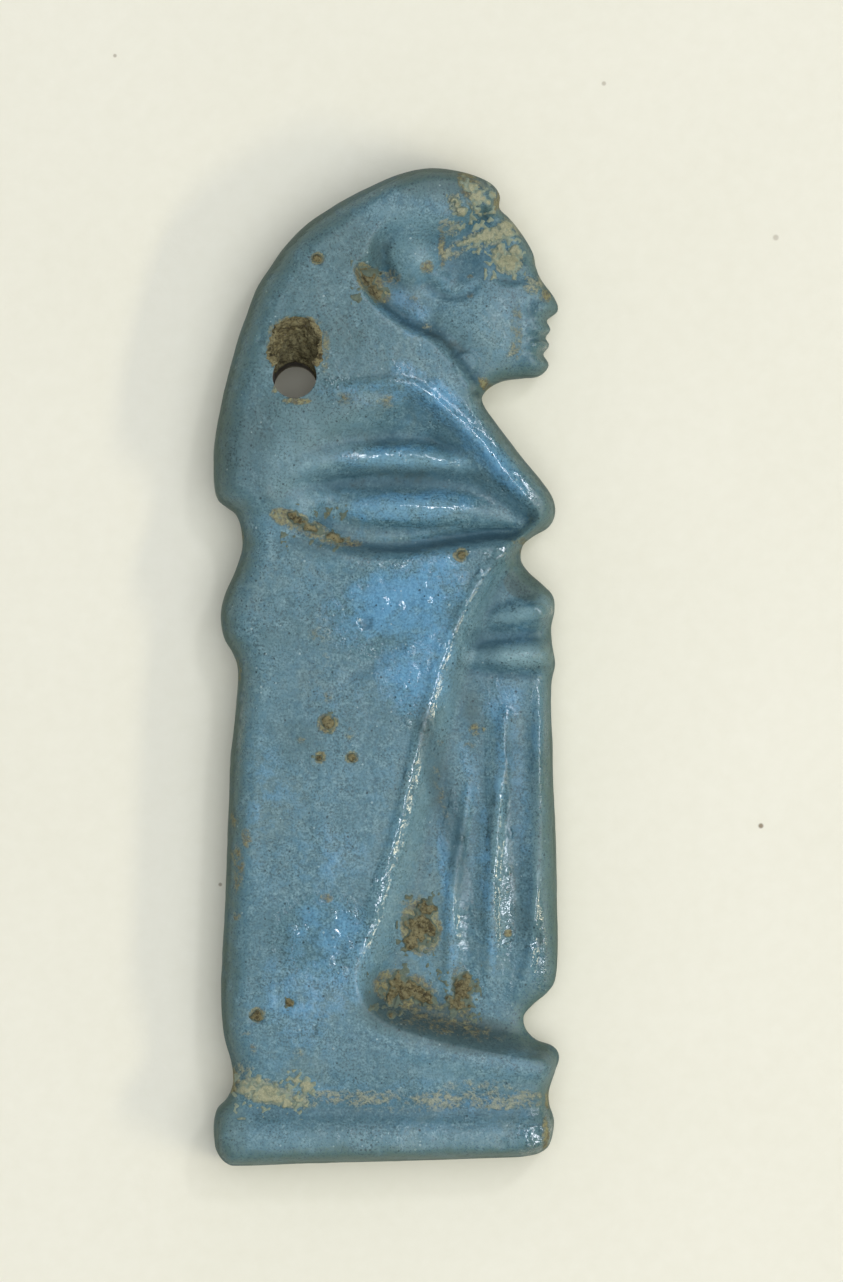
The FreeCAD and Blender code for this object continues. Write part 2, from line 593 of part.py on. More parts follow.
def top_surface(outline, relief):
    """The relief inside an outline as one smooth four-sided surface, whose rim is the outline."""
    low_rear = corner(outline, *LOW_REAR_SHARES)
    low_front = corner(outline, *LOW_FRONT_SHARES)
    high_rear = corner(outline, *HIGH_REAR_SHARES)
    high_front = corner(outline, *HIGH_FRONT_SHARES)

    def between(a, b, t, axis, furthest):
        level = a[axis] + t * (b[axis] - a[axis])
        if t <= 0 or t >= 1:
            return a if t <= 0 else b
        other = crossing(outline, axis, level, furthest)
        return (other, level) if axis == 1 else (level, other)

    def greville(count):
        knots = [0] * 4 + list(range(1, count - 3)) + [count - 3] * 4
        return [sum(knots[k + 1:k + 4]) / 3 / (count - 3) for k in range(count)]

    us = greville(ACROSS_COUNT + 1)
    vs = greville(ALONG_COUNT + 1)
    foot = [between(low_rear, low_front, u, 0, False) for u in us]
    crown = [between(high_rear, high_front, u, 0, True) for u in us]
    poles = [[] for _ in us]
    for v in vs:
        rear = between(low_rear, high_rear, v, 1, False)
        front = between(low_front, high_front, v, 1, True)
        for i, u in enumerate(us):
            place = []
            for axis in (0, 1):
                sides = (1 - u) * rear[axis] + u * front[axis]
                ends = (1 - v) * foot[i][axis] + v * crown[i][axis]
                low = (1 - u) * low_rear[axis] + u * low_front[axis]
                high = (1 - u) * high_rear[axis] + u * high_front[axis]
                place.append(sides + ends - (1 - v) * low - v * high)
            poles[i].append(Vector(*place, relief.height(*place)))
    surface = Part.BSplineSurface()
    counts = []
    knots = []
    for count in (len(us), len(vs)):
        counts.append([4] + [1] * (count - 4) + [4])
        knots.append([float(k) for k in range(count - 2)])
    surface.buildFromPolesMultsKnots(poles, *counts, *knots, False, False, 3, 3)
    return surface


def skin_faces(surface):
    """A top surface in bands, with the upright walls under its rim and their foot edges."""
    last_u = surface.getUKnots()[-1]
    last_v = surface.getVKnots()[-1]
    faces = []
    foot_edges = []

    def wall(curve):
        poles = [Vector(pole.x, pole.y, 0) for pole in curve.getPoles()]
        foot = curve.copy()
        for number, pole in enumerate(poles, start=1):
            foot.setPole(number, pole)
        foot_edges.append(foot.toShape())
        faces.append(Part.makeRuledSurface(foot.toShape(), curve.toShape()))

    for band in range(BAND_COUNT):
        start = round(last_v * band / BAND_COUNT)
        end = round(last_v * (band + 1) / BAND_COUNT)
        strip = surface.copy()
        strip.segment(0, last_u, start, end)
        faces.append(strip.toShape())
        wall(strip.uIso(0))
        wall(strip.uIso(last_u))
        if band == 0:
            wall(strip.vIso(start))
        if band == BAND_COUNT - 1:
            wall(strip.vIso(end))
    return faces, Part.Wire(Part.sortEdges(foot_edges)[0])


def solid_of(faces):
    shell = Part.makeShell(faces)
    shell.sewShape()
    solid = Part.makeSolid(shell if shell.ShapeType == "Shell" else shell.Shells[0])
    return solid if solid.Volume > 0 else solid.reversed()


def feature(name, shape):
    piece = doc.addObject("Part::Feature", name)
    piece.Shape = shape
    piece.Placement = Placement()
    return piece


def cut(name, base, tool):
    piece = doc.addObject("Part::Cut", name)
    piece.Base = base
    piece.Tool = tool
    return piece


def common(name, base, tool):
    piece = doc.addObject("Part::Common", name)
    piece.Base = base
    piece.Tool = tool
    return piece


def joined(name, pieces):
    if len(pieces) == 1:
        return pieces[0]
    piece = doc.addObject("Part::MultiFuse", name)
    piece.Shapes = pieces
    return piece


def leaning(place, tilt, back_off):
    """Placement of a tool whose axis passes a place and leans towards the crown."""
    turn = Rotation(Vector(1, 0, 0), -tilt)
    return Placement(place - turn.multVec(Vector(0, 0, back_off)), turn)


def make_bore():
    """The straight suspension hole."""
    bore = doc.addObject("Part::Cylinder", "bore")
    bore.setExpression("Radius", "Sizes.bore_radius")
    bore.setExpression("Height", "Sizes.body_thickness + 2 * Sizes.overrun")
    place = Vector(across(BORE_BACK_PX[0]), along(BORE_BACK_PX[1]), 0)
    bore.Placement = leaning(place, size("bore_tilt"), size("overrun"))
    return bore


def make_mouth(name, inset):
    """The worn mouth of the hole, or the same cone drawn in by the earth in it."""
    mouth = doc.addObject("Part::Cone", name)
    mouth.setExpression("Radius1", f"Sizes.mouth_floor_radius - {inset}")
    mouth.setExpression("Radius2", f"Sizes.mouth_radius - {inset}")
    mouth.setExpression("Height", "Sizes.body_thickness + Sizes.overrun")
    x, y = MOUTH_FLOOR_PX
    place = Vector(across(x), along(y), size("mouth_floor_height"))
    mouth.Placement = leaning(place, size("mouth_tilt"), 0)
    return mouth


def flake(name, relief, row, sides, height, sink):
    """A flat-faced prism that stands square to the relief, with its foot sunk into it."""
    px, py, radius, share, turn = row
    piece = doc.addObject("Part::Prism", name)
    piece.Polygon = sides
    wide = f"Sizes.figure_width * {radius} / {PHOTO_WIDTH_PX}"
    tall = f"Sizes.figure_height * {radius} / {PHOTO_HEIGHT_PX}"
    piece.setExpression("Circumradius", f"({wide} + {tall}) / 2")
    piece.setExpression("Height", f"Sizes.{sink} + Sizes.{height} * {share}")
    x, y = across(px), along(py)
    rise_x, rise_y = relief.slope(x, y)
    tip = Rotation(Vector(0, 0, 1), Vector(-rise_x, -rise_y, 1))
    spin = tip.multiply(Rotation(Vector(0, 0, 1), turn))
    place = Vector(x, y, relief.height(x, y)) - tip.multVec(Vector(0, 0, size(sink)))
    piece.Placement = Placement(place, spin)
    return piece


def named(piece, node):
    piece.Label = node
    nodes[node] = piece


nodes = {}
outline = [point[:2] for point in curve_points(OUTLINE_PX, True, size("curve_step"))]
relief = Relief()
lay_body(relief)
sink_fields(relief)
model_head(relief)
draw_strokes(relief)
round_edges(relief, outline)
core_outline = shrunk(outline, size("glaze_thickness"))
core_relief = relief.lowered(size("glaze_thickness"))

skin, skin_foot = skin_faces(top_surface(outline, relief))
core_skin, core_foot = skin_faces(top_surface(core_outline, core_relief))
back_rim = Part.makeFace([skin_foot, core_foot], "Part::FaceMakerBullseye")
envelope = feature("envelope", solid_of(skin + [Part.Face(skin_foot)]))
core_block = feature("core_block", solid_of(core_skin + [Part.Face(core_foot)]))
lining = [face.reversed() for face in core_skin]
coat_block = feature("coat_block", solid_of(skin + lining + [back_rim]))

# The suspension hole goes through the core and the coat
bore = make_bore()
mouth = make_mouth("mouth", "0")
hole = joined("hole", [bore, mouth])
named(cut("core", core_block, hole), "faience_core")
pierced_coat = cut("pierced_coat", coat_block, hole)

# Earth that lines the worn mouth and leaves the straight hole free
mouth_way = joined("mouth_way", [bore, make_mouth("mouth_clear", "Sizes.mouth_earth_thickness")])
mouth_lining = cut("mouth_lining", mouth, mouth_way)
named(common("mouth_earth", mouth_lining, envelope), "hole_earth")

# Pits in the glaze, each filled with earth
fills = []
for node, (px, py, radius) in PITS_PX.items():
    fill = flake(node, relief, (px, py, radius, 1, 0), FILL_SIDES, "fill_rise", "pit_depth")
    fills.append(fill)
    named(fill, node)
named(cut("coat", pierced_coat, joined("pits", fills)), "glaze_coat")

# Earth and lime that lie on the glaze
for table, height in ((EARTH_PX_SHARES, "earth_height"), (CRUST_PX_SHARES, "crust_height")):
    for node, rows in table.items():
        flakes = []
        for number, row in enumerate(rows):
            name = f"{node}_flake_{number}"
            flakes.append(flake(name, relief, row, FLAKE_SIDES, height, "flake_sink"))
        named(cut(f"{node}_seated", joined(f"{node}_flakes", flakes), envelope), node)

doc.recompute()
for piece in doc.Objects:
    if "Invalid" in piece.State or "Error" in piece.State:
        raise RuntimeError(f"{piece.Label} failed: {piece.State}")
for node, piece in nodes.items():
    if piece.Shape.isNull() or not piece.Shape.isValid() or len(piece.Shape.Solids) != 1:
        raise RuntimeError(f"{node} is not one valid solid")

os.makedirs("parts", exist_ok=True)
for node, piece in nodes.items():
    box = piece.Shape.BoundBox
    piece.Shape.exportStep(f"parts/{node}.step")
    print(f"{node}: {piece.Shape.Volume:.4f} mm3, {box.XLength:.2f} x {box.YLength:.2f}"
          f" x {box.ZLength:.2f} mm")
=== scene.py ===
import math

import bmesh
import bpy
import numpy as np
from mathutils import Matrix, Vector


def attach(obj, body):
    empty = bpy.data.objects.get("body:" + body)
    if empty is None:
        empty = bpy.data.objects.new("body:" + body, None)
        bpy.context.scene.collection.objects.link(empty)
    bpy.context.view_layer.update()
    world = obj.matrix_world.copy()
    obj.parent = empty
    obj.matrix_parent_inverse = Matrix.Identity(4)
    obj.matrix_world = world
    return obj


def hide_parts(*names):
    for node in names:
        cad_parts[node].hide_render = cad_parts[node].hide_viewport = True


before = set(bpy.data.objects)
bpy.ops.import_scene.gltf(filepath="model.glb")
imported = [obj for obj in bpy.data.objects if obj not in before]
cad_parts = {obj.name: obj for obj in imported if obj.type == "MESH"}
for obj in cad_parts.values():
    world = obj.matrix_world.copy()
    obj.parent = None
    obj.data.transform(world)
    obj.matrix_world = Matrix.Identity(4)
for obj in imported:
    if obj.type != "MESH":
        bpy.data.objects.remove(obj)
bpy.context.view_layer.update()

MM = 0.001
PX_MM = 0.04
MIDDLE_PX = (386.5, 667.0)

# Silhouette: crown, back of the wig, body, plinth, hands, lappet, face
OUTLINE_PX = [
    (430, 168), (398, 174.5), (365, 189), (334, 206), (308, 223), (288, 243), (271, 266),
    (256, 290), (246, 318), (237, 343), (228, 375), (220, 410), (214.5, 447), (214, 480),
    (218, 498), (227, 506.5), (236, 514), (241, 529), (242, 549), (235, 572), (225.5, 594),
    (221.5, 617), (225, 639), (234, 654), (239, 670), (237, 700), (233, 735), (230, 775),
    (228, 830), (226, 880), (223, 950), (221, 1000), (224, 1036), (231, 1062), (233, 1083),
    (227, 1099), (217, 1110), (214, 1128), (216, 1150), (227, 1164), (245, 1166),
    (310, 1163.5), (390, 1161.5), (470, 1159), (525, 1156.5), (545, 1150), (552, 1138),
    (554, 1120), (549.5, 1105), (549, 1090), (555, 1072), (559, 1057), (553, 1047), (537, 1041),
    (526, 1030), (524, 1016), (534, 1004), (548, 992), (556, 976), (557.5, 930), (555.5, 850),
    (553, 770), (551, 700), (551.5, 680), (555, 664), (552, 645), (551, 628), (554.5, 611),
    (553, 596), (542, 584), (527, 571), (520, 559), (522, 545), (534, 535), (548, 527),
    (555, 514), (552, 497), (538, 477), (515, 449), (495, 422), (482, 401), (487, 389),
    (503, 380), (522, 377.5), (539, 375), (548, 365), (543, 354), (549, 345), (545.5, 337.5),
    (550.5, 329), (547, 320), (558, 310), (554, 297), (542, 281), (536, 268), (533, 253),
    (522, 234), (509, 218), (499, 208), (499, 194), (489, 182), (463, 172),
]

# Borders of raised and sunk fields: place, width of the slope, and the share of the slope's
# crest that is rounded
WIG_PX_SHARES = [
    (180, 506, 14, 1), (225, 508, 14, 1), (250, 514, 18, 1), (280, 514, 30, 1), (330, 480, 60, 1),
    (400, 460, 60, 1), (480, 450, 60, 1), (560, 530, 14, 1), (620, 520, 14, 1), (620, 120, 14, 1),
    (180, 120, 14, 1),
]
FACE_PX_SHARES = [
    (503, 209, 12, 1), (482, 205, 18, 1), (462, 211, 24, 1), (440, 217, 32, 1), (415, 217, 38, 1),
    (390, 223, 42, 1), (371, 237, 42, 1), (360, 256, 36, 1), (354, 273, 16, 0.3),
    (366, 291, 14, 0), (380, 308, 15, 0), (401, 326, 15, 0), (424, 337, 15, 0), (441, 346, 14, 0),
    (455, 365, 14, 0), (468, 383, 12, 0), (483, 400, 10, 0), (600, 400, 10, 0), (600, 209, 10, 0),
]
CHEST_PX_SHARES = [
    (294, 508, 50, 1), (284, 480, 84, 1), (294, 446, 100, 1), (320, 414, 100, 1), (356, 393, 70, 1),
    (400, 386, 40, 0.9), (430, 398, 32, 0.8), (462, 428, 30, 0.7), (500, 470, 28, 0.6),
    (526, 498, 22, 0.5), (539, 516, 14, 0.4), (530, 531, 10, 0.4), (515, 540, 11, 0.3),
    (490, 542, 13, 0.3), (450, 547, 14, 0.3), (400, 554, 15, 0.3), (350, 549, 15, 0.4),
    (322, 538, 18, 0.7), (304, 525, 30, 1),
]
LINEN_PX_SHARES = [
    (524, 546, 12, 0.3), (505, 554, 16, 0.8), (489, 571, 20, 0.9), (476, 591, 22, 0.9),
    (463, 616, 25, 0.9), (452, 642, 28, 0.9), (443, 668, 29, 0.9), (434, 696, 31, 0.9),
    (421, 742, 31, 0.9), (410, 790, 33, 0.9), (398, 836, 33, 0.9), (385, 876, 37, 0.9),
    (373, 916, 41, 0.9), (361, 948, 42, 0.8), (356, 975, 34, 0.6), (363, 1000, 26, 0.5),
    (380, 1018, 26, 0.5), (407, 1031, 27, 0.6), (442, 1041, 27, 0.6), (480, 1049, 26, 0.6),
    (515, 1055, 24, 0.5), (540, 1058, 18, 0.4), (600, 1058, 18, 0.4), (600, 546, 12, 0.3),
]

# Where the face rises towards the brow, and where the linen drops towards its hem
BROW_LOW_PX = 300
BROW_HIGH_PX = 210
CHEEK_REAR_PX = 440
CHEEK_FRONT_PX = 530
HEM_START_PX = 880
HEM_END_PX = 1020

# Groove over the plinth: height in the photograph and share of the groove's depth
GROOVE_PX_SHARES = [
    (1054, 0), (1072, 0.12), (1088, 0.42), (1100, 0.78), (1108, 0.95), (1115, 0.74), (1122, 0.36),
    (1130, 0.1), (1138, 0),
]

# Round forms of the head: place, half length, half width, share of the ridge height, turn
HEAD_PX_SHARES = [
    (415, 257, 31, 30, 1.15, 0),
    (441, 279, 13, 8, 0.3, -10),
    (460, 262, 24, 24, -0.3, 0),
    (494, 322, 62, 56, 0.8, 0),
    (517, 236, 40, 26, 0.4, -45),
    (511, 272, 28, 17, -0.55, 0),
    (511, 272, 19, 9, 0.5, -3),
    (543, 311, 16, 12, 0.4, -20),
    (541, 329, 15, 9, 0.3, 0),
    (540, 346, 15, 9, 0.3, 0),
    (535, 364, 18, 13, 0.4, 0),
]

# Ridges, folds and creases: place, half width, share of the ridge height
STROKES_PX_SHARES = {
    "chest fold, upper": [
        (315, 420, 16, 0), (350, 412, 22, 0.26), (395, 412, 22, 0.36), (430, 424, 18, 0.2),
        (455, 440, 12, 0)],
    "chest fold, middle": [
        (272, 484, 14, 0), (315, 467, 19, 0.6), (360, 459, 20, 0.95), (400, 458, 21, 1.1),
        (440, 461, 20, 0.95), (478, 472, 17, 0.5), (505, 487, 13, 0)],
    "chest fold, lower": [
        (285, 503, 14, 0), (330, 505, 19, 0.55), (375, 508, 23, 1.1), (415, 509, 24, 1.25),
        (455, 510, 22, 1.0), (485, 513, 16, 0.45), (512, 517, 13, 0)],
    "valley between the folds": [
        (300, 482, 13, 0), (340, 480, 17, -0.2), (400, 479, 18, -0.28), (455, 482, 16, -0.2),
        (490, 490, 11, 0)],
    "valley over the folds": [
        (320, 440, 12, 0), (360, 436, 14, -0.2), (410, 436, 14, -0.24), (450, 448, 12, -0.18),
        (485, 468, 9, 0)],
    "chest crease": [
        (282, 520, 8, 0), (310, 534, 10, -0.35), (350, 546, 11, -0.6), (400, 549, 12, -0.7),
        (450, 541, 12, -0.85), (490, 535, 13, -0.9), (512, 534, 12, -0.7), (526, 537, 8, 0)],
    "lip of the chest": [
        (352, 518, 5, 0), (380, 520, 6, 0.1), (418, 522, 6, 0.12), (455, 522, 6, 0.1),
        (486, 520, 5, 0)],
    "body under the chest": [
        (300, 540, 14, 0), (350, 564, 18, 0.16), (400, 569, 18, 0.2), (450, 561, 17, 0.22),
        (495, 555, 14, 0.16), (515, 553, 9, 0)],
    "upper fist": [
        (486, 622, 12, 0), (508, 617, 18, 0.7), (532, 613, 21, 1.1), (575, 609, 22, 1.2)],
    "lower fist": [
        (462, 660, 12, 0), (488, 658, 18, 0.75), (520, 656, 20, 1.1), (575, 656, 20, 1.1)],
    "valley between the fists": [
        (462, 642, 12, 0), (485, 638, 17, -0.42), (510, 634, 17, -0.36), (535, 632, 14, -0.2),
        (552, 632, 9, 0)],
    "cut under the fists": [
        (450, 667, 5, 0), (480, 670, 7, -0.18), (515, 674, 7, -0.14), (545, 678, 6, -0.1),
        (552, 680, 5, 0)],
    "middle linen fold": [
        (508, 704, 6, 0), (506, 714, 9, 0.26), (503, 739, 10, 0.3), (504, 764, 10, 0.3),
        (500, 790, 10, 0.34), (496, 830, 10, 0.34), (494, 860, 10, 0.34), (491, 900, 10, 0.34),
        (491, 940, 10, 0.28), (488, 966, 8, 0.18), (487, 990, 6, 0)],
    "inner linen fold": [
        (471, 776, 5, 0), (467, 800, 8, 0.24), (463, 828, 9, 0.3), (456, 864, 9, 0.3),
        (452, 900, 9, 0.28), (450, 936, 8, 0.26), (448, 980, 7, 0.16), (447, 1002, 5, 0)],
    "outer linen fold": [
        (539, 688, 6, 0), (540, 720, 9, 0.26), (538, 754, 9, 0.26), (539, 820, 9, 0.16),
        (536, 887, 9, 0.26), (534, 915, 9, 0.26), (529, 965, 9, 0.26), (520, 988, 8, 0.2),
        (512, 1000, 6, 0)],
    "valley beside the middle fold": [
        (524, 712, 10, 0), (521, 790, 15, -0.14), (516, 880, 15, -0.16), (511, 960, 14, -0.1),
        (508, 990, 9, 0)],
    "valley behind the middle fold": [
        (490, 720, 10, 0), (483, 780, 15, -0.14), (475, 850, 15, -0.16), (471, 920, 15, -0.14),
        (468, 985, 9, 0)],
    "swell of the middle fold": [
        (507, 700, 14, 0), (503, 760, 24, 0.14), (497, 830, 26, 0.18), (492, 900, 26, 0.18),
        (489, 950, 22, 0.12), (487, 998, 14, 0)],
    "swell of the inner fold": [
        (470, 765, 14, 0), (462, 830, 22, 0.1), (454, 900, 22, 0.12), (450, 960, 20, 0.1),
        (447, 1006, 14, 0)],
    "swell of the outer fold": [
        (537, 684, 12, 0), (541, 720, 20, 0.12), (541, 800, 22, 0.14), (538, 900, 22, 0.14),
        (528, 968, 18, 0.12), (514, 1000, 12, 0)],
    "elbow fold": [
        (330, 694, 9, 0), (356, 674, 14, -0.24), (385, 655, 14, -0.24), (412, 638, 10, 0)],
    "edge of the linen": [
        (508, 549, 6, 0), (486, 569, 8, 0.12), (472, 590, 8, 0.14), (459, 615, 8, 0.14),
        (447, 643, 8, 0.14), (438, 668, 8, 0.14), (429, 697, 8, 0.14), (417, 742, 8, 0.14),
        (405, 790, 8, 0.14), (393, 836, 8, 0.12), (380, 876, 8, 0.1), (359, 940, 8, 0)],
    "edge of the lappet": [
        (318, 400, 9, 0), (350, 390, 10, 0.2), (385, 384, 11, 0.26), (416, 389, 11, 0.32),
        (447, 414, 11, 0.34), (482, 446, 11, 0.34), (508, 478, 11, 0.3), (528, 503, 10, 0.18),
        (541, 517, 7, 0)],
    "feet": [
        (395, 1046, 12, 0), (440, 1057, 16, 0.22), (500, 1066, 16, 0.34), (560, 1072, 15, 0.34)],
    "groove behind the ear": [
        (440, 223, 8, 0), (418, 220, 10, -0.16), (397, 226, 12, -0.28), (384, 240, 13, -0.46),
        (380, 257, 13, -0.56), (387, 275, 12, -0.46), (401, 288, 9, -0.22), (413, 292, 7, 0)],
    "hollow of the ear": [
        (423, 277, 6, 0), (430, 288, 7, -0.22), (442, 295, 7, -0.28), (458, 297, 7, -0.26),
        (472, 291, 7, -0.2), (480, 279, 6, 0)],
    "crease beside the face": [
        (357, 272, 6, 0), (368, 290, 8, -0.45), (385, 307, 9, -0.7), (410, 325, 10, -0.68),
        (434, 336, 9, -0.56), (450, 352, 9, -0.44), (466, 374, 8, -0.3), (480, 394, 6, 0)],
    "brow": [
        (486, 262, 8, 0), (502, 255, 10, 0.26), (520, 254, 10, 0.28), (536, 258, 8, 0.12)],
    "mouth": [
        (524, 340, 6, 0), (534, 338.5, 7, -0.28), (548, 337.5, 7, -0.32)],
    "wing of the nose": [
        (534, 300, 7, 0), (530, 310, 8, -0.24), (534, 320, 7, 0)],
    "jaw": [
        (450, 350, 12, 0), (470, 372, 16, 0.12), (500, 376, 13, 0.1), (525, 374, 9, 0)],
}

# The same sizes as the part's source, in millimetres
FIGURE_WIDTH = 13.8
BODY_THICKNESS = 4.0
BODY_CROWN = 0.45
EDGE_THICKNESS = 2.2
REAR_ROLL = 1.1
FRONT_ROLL = 0.6
PLINTH_ROLL = 0.55
PLINTH_START_PX = 1070
PLINTH_END_PX = 1115
WIG_RISE = 0.3
FACE_DEPTH = 1.0
BROW_RISE = 0.55
CHEST_DEPTH = 0.85
LINEN_DEPTH = 0.85
HEM_DROP = 0.6
GROOVE_DEPTH = 0.55
RIDGE_HEIGHT = 0.5
CROWN_SHARE = 0.6
ROLL_START_SHARE = 0.3
ROLL_SPAN_SHARE = 0.4

# Suspension hole: places on its axes in pixels, and radii, heights and tilts
BORE_BACK_PX = (295, 387)
BORE_RADIUS = 0.88
BORE_TILT = 5.5
MOUTH_FLOOR_PX = (296, 385)
MOUTH_FLOOR_HEIGHT = 1.9
MOUTH_FLOOR_RADIUS = 0.78
MOUTH_RADIUS = 1.36
MOUTH_LENGTH = 6.0
MOUTH_TILT = 33.0

# Open bubbles and dents in the glaze: place, radius, depth in millimetres
BUBBLES = [
    (366, 622, 8, 0.11), (533, 938, 9, 0.13), (261, 341, 5, 0.1), (535, 1135, 9, 0.09),
    (502, 1143, 7, 0.08), (437, 1135, 6, 0.03), (398, 597, 5, 0.03), (340, 948, 6, 0.03),
    (306, 760, 4, 0.04), (233, 780, 5, 0.05), (318, 260, 7, 0.08), (461, 555, 7, 0.1),
    (328, 723, 9, 0.06), (320, 757, 6, 0.06), (352, 757, 6.5, 0.06), (257, 1015, 9, 0.07),
    (290, 1001, 6, 0.05), (466, 364, 14, -0.2),
]

# Soft spots on the glaze give their place, half width, half height, share and turn, which may be
# left out. Where the glaze has run together deep and blue:
POOLS = [
    (398, 602, 64, 40, 0.95, 14), (430, 582, 40, 34, 0.7), (412, 678, 40, 44, 0.85, 30),
    (350, 620, 40, 30, 0.55, 20), (432, 630, 24, 60, 0.75, 10), (330, 932, 46, 40, 0.62),
    (500, 700, 26, 26, 0.6), (345, 975, 34, 36, 0.55), (404, 458, 70, 14, 0.7),
    (410, 506, 72, 16, 0.75, 5), (440, 402, 64, 18, 0.75, -38), (488, 455, 64, 16, 0.8, -47),
    (487, 880, 8, 100, 0.6, 4), (448, 890, 8, 90, 0.5, 6), (499, 770, 7, 70, 0.5),
    (505, 636, 30, 14, 0.3), (410, 306, 24, 14, 0.6, -40), (400, 322, 34, 10, 0.5, -35),
    (462, 256, 26, 20, 0.15), (385, 1092, 130, 18, 0.35), (470, 1100, 70, 12, 0.45),
    (540, 720, 10, 60, 0.5), (370, 395, 60, 14, 0.35), (476, 830, 12, 120, 0.35, 6),
    (520, 820, 12, 120, 0.35, 3), (300, 990, 40, 60, 0.5), (360, 700, 40, 40, 0.25),
    (260, 780, 30, 60, 0.2), (330, 860, 40, 40, 0.3),
]

# Where the glaze has kept its gloss
GLOSSY = [
    (415, 455, 84, 12, 1.0), (425, 505, 84, 12, 1.0, 5), (440, 400, 70, 14, 0.9, -35),
    (500, 465, 60, 16, 1.0, -50), (370, 384, 60, 9, 0.8), (405, 610, 90, 60, 0.9, 10),
    (420, 690, 40, 50, 0.8, 20), (325, 935, 60, 50, 0.9), (500, 830, 14, 180, 1.2, 3),
    (458, 880, 14, 130, 1.1, 8), (538, 740, 12, 90, 0.75), (534, 925, 12, 80, 1.0, 6),
    (532, 612, 24, 10, 1.1, 5), (500, 660, 40, 14, 0.6), (502, 712, 20, 10, 1.0),
    (535, 1130, 26, 30, 0.8), (400, 1130, 150, 22, 0.35), (500, 330, 40, 40, 0.35),
    (540, 345, 14, 20, 0.7), (240, 720, 10, 60, 0.6, 5), (420, 560, 90, 10, 0.6, 5),
    (470, 1050, 70, 14, 0.1, -8), (330, 340, 60, 60, 0.2), (455, 255, 30, 18, 0.3),
    (405, 305, 24, 14, 0.4, 30), (415, 521, 60, 7, 1.1),
]

# Where the glaze is pale: thin glaze on ridges, and painted light on lit ridges, slopes and
# highlights
PALE_GLAZE_AND_PAINTED_LIGHT = [
    (524, 655, 38, 13, 1.6), (526, 611, 12, 5, 1.2), (385, 1140, 180, 14, 0.35),
    (480, 655, 26, 8, 0.8, 10), (546, 601, 14, 13, 1.2), (520, 616, 36, 7, 1.0, 5),
    (470, 1074, 70, 12, 0.4, -8), (410, 461, 60, 11, 0.8), (412, 509, 64, 12, 0.6),
    (300, 470, 40, 40, 0.5), (330, 430, 60, 30, 0.4), (270, 690, 30, 60, 0.2),
    (545, 700, 12, 40, 0.5), (500, 860, 9, 130, 0.6, 2), (455, 890, 8, 90, 0.5, 4),
    (541, 860, 10, 100, 0.4), (420, 222, 50, 12, 0.4, -15), (410, 260, 24, 22, 0.5),
    (480, 330, 40, 40, 0.4), (240, 1130, 16, 24, 0.3), (364, 985, 16, 30, 0.6),
]

# Where the glaze is grey-green and speckled
MOSSY_GLAZE = [
    (300, 320, 120, 160, 0.7, 20), (500, 840, 50, 160, 0.3, 3), (226, 440, 30, 80, 0.9, 6),
    (250, 460, 50, 60, 0.6), (440, 182, 70, 24, 0.95, -10), (480, 200, 30, 24, 0.7),
    (300, 238, 60, 16, 0.5, 35), (228, 610, 14, 60, 0.6), (232, 780, 16, 160, 0.7),
    (226, 980, 14, 90, 0.6), (390, 1158, 190, 14, 0.8), (228, 1130, 22, 40, 0.7),
    (545, 1120, 18, 50, 0.6), (548, 860, 18, 160, 0.8), (524, 586, 22, 15, 1.3, -25),
    (545, 600, 10, 14, 0.5), (425, 840, 24, 120, 0.3, 13), (470, 700, 16, 60, 0.5, 20),
    (536, 663, 22, 9, 0.5), (544, 1050, 20, 16, 0.6), (436, 760, 22, 120, 0.6, 13),
    (500, 560, 30, 16, 0.3), (300, 700, 60, 120, 0.25), (545, 500, 20, 40, 0.6),
    (450, 340, 30, 40, 0.4, 30), (330, 548, 80, 16, 0.5), (400, 478, 100, 14, 0.4),
    (260, 600, 40, 60, 0.4), (440, 1026, 100, 24, 1.0, -12), (385, 990, 34, 30, 0.5, -20),
    (505, 1044, 50, 14, 0.6, -8), (548, 260, 16, 60, 0.4),
]

# Where the glaze is dark: thick glaze, and painted shade in creases, valleys and on the hem's slope
DARK_GLAZE_AND_PAINTED_SHADE = [
    (446, 810, 16, 120, 0.75, 13), (470, 720, 16, 60, 0.4, 20), (440, 182, 50, 14, 0.3, -10),
    (482, 770, 14, 80, 0.35, 4), (472, 920, 12, 70, 0.3, 4), (522, 740, 12, 60, 0.2, 2),
    (524, 587, 22, 15, 0.85, -25), (492, 636, 30, 12, 0.75, 5), (222, 440, 18, 60, 0.5, 8),
    (250, 440, 30, 70, 0.25, 8), (425, 1012, 70, 26, 0.9, -12), (480, 1036, 90, 18, 0.6, -9),
    (446, 1022, 80, 15, 1.0, -12), (470, 352, 18, 26, 0.3, 30), (395, 479, 110, 13, 0.5),
    (380, 438, 60, 12, 0.45), (379, 256, 9, 22, 0.4, 8), (462, 266, 24, 22, 0.65),
    (402, 305, 22, 15, 0.65, -40), (400, 480, 90, 11, 1.0), (478, 262, 20, 22, 0.7),
    (482, 690, 30, 60, 0.3, 5), (518, 830, 13, 140, 0.5, 3), (390, 1112, 170, 10, 0.3),
    (405, 990, 40, 20, 0.5, -15), (300, 700, 40, 60, 0.15), (480, 575, 20, 40, 0.25, 30),
    (490, 480, 30, 12, 0.35, -45), (330, 548, 60, 8, 0.5, -5),
]

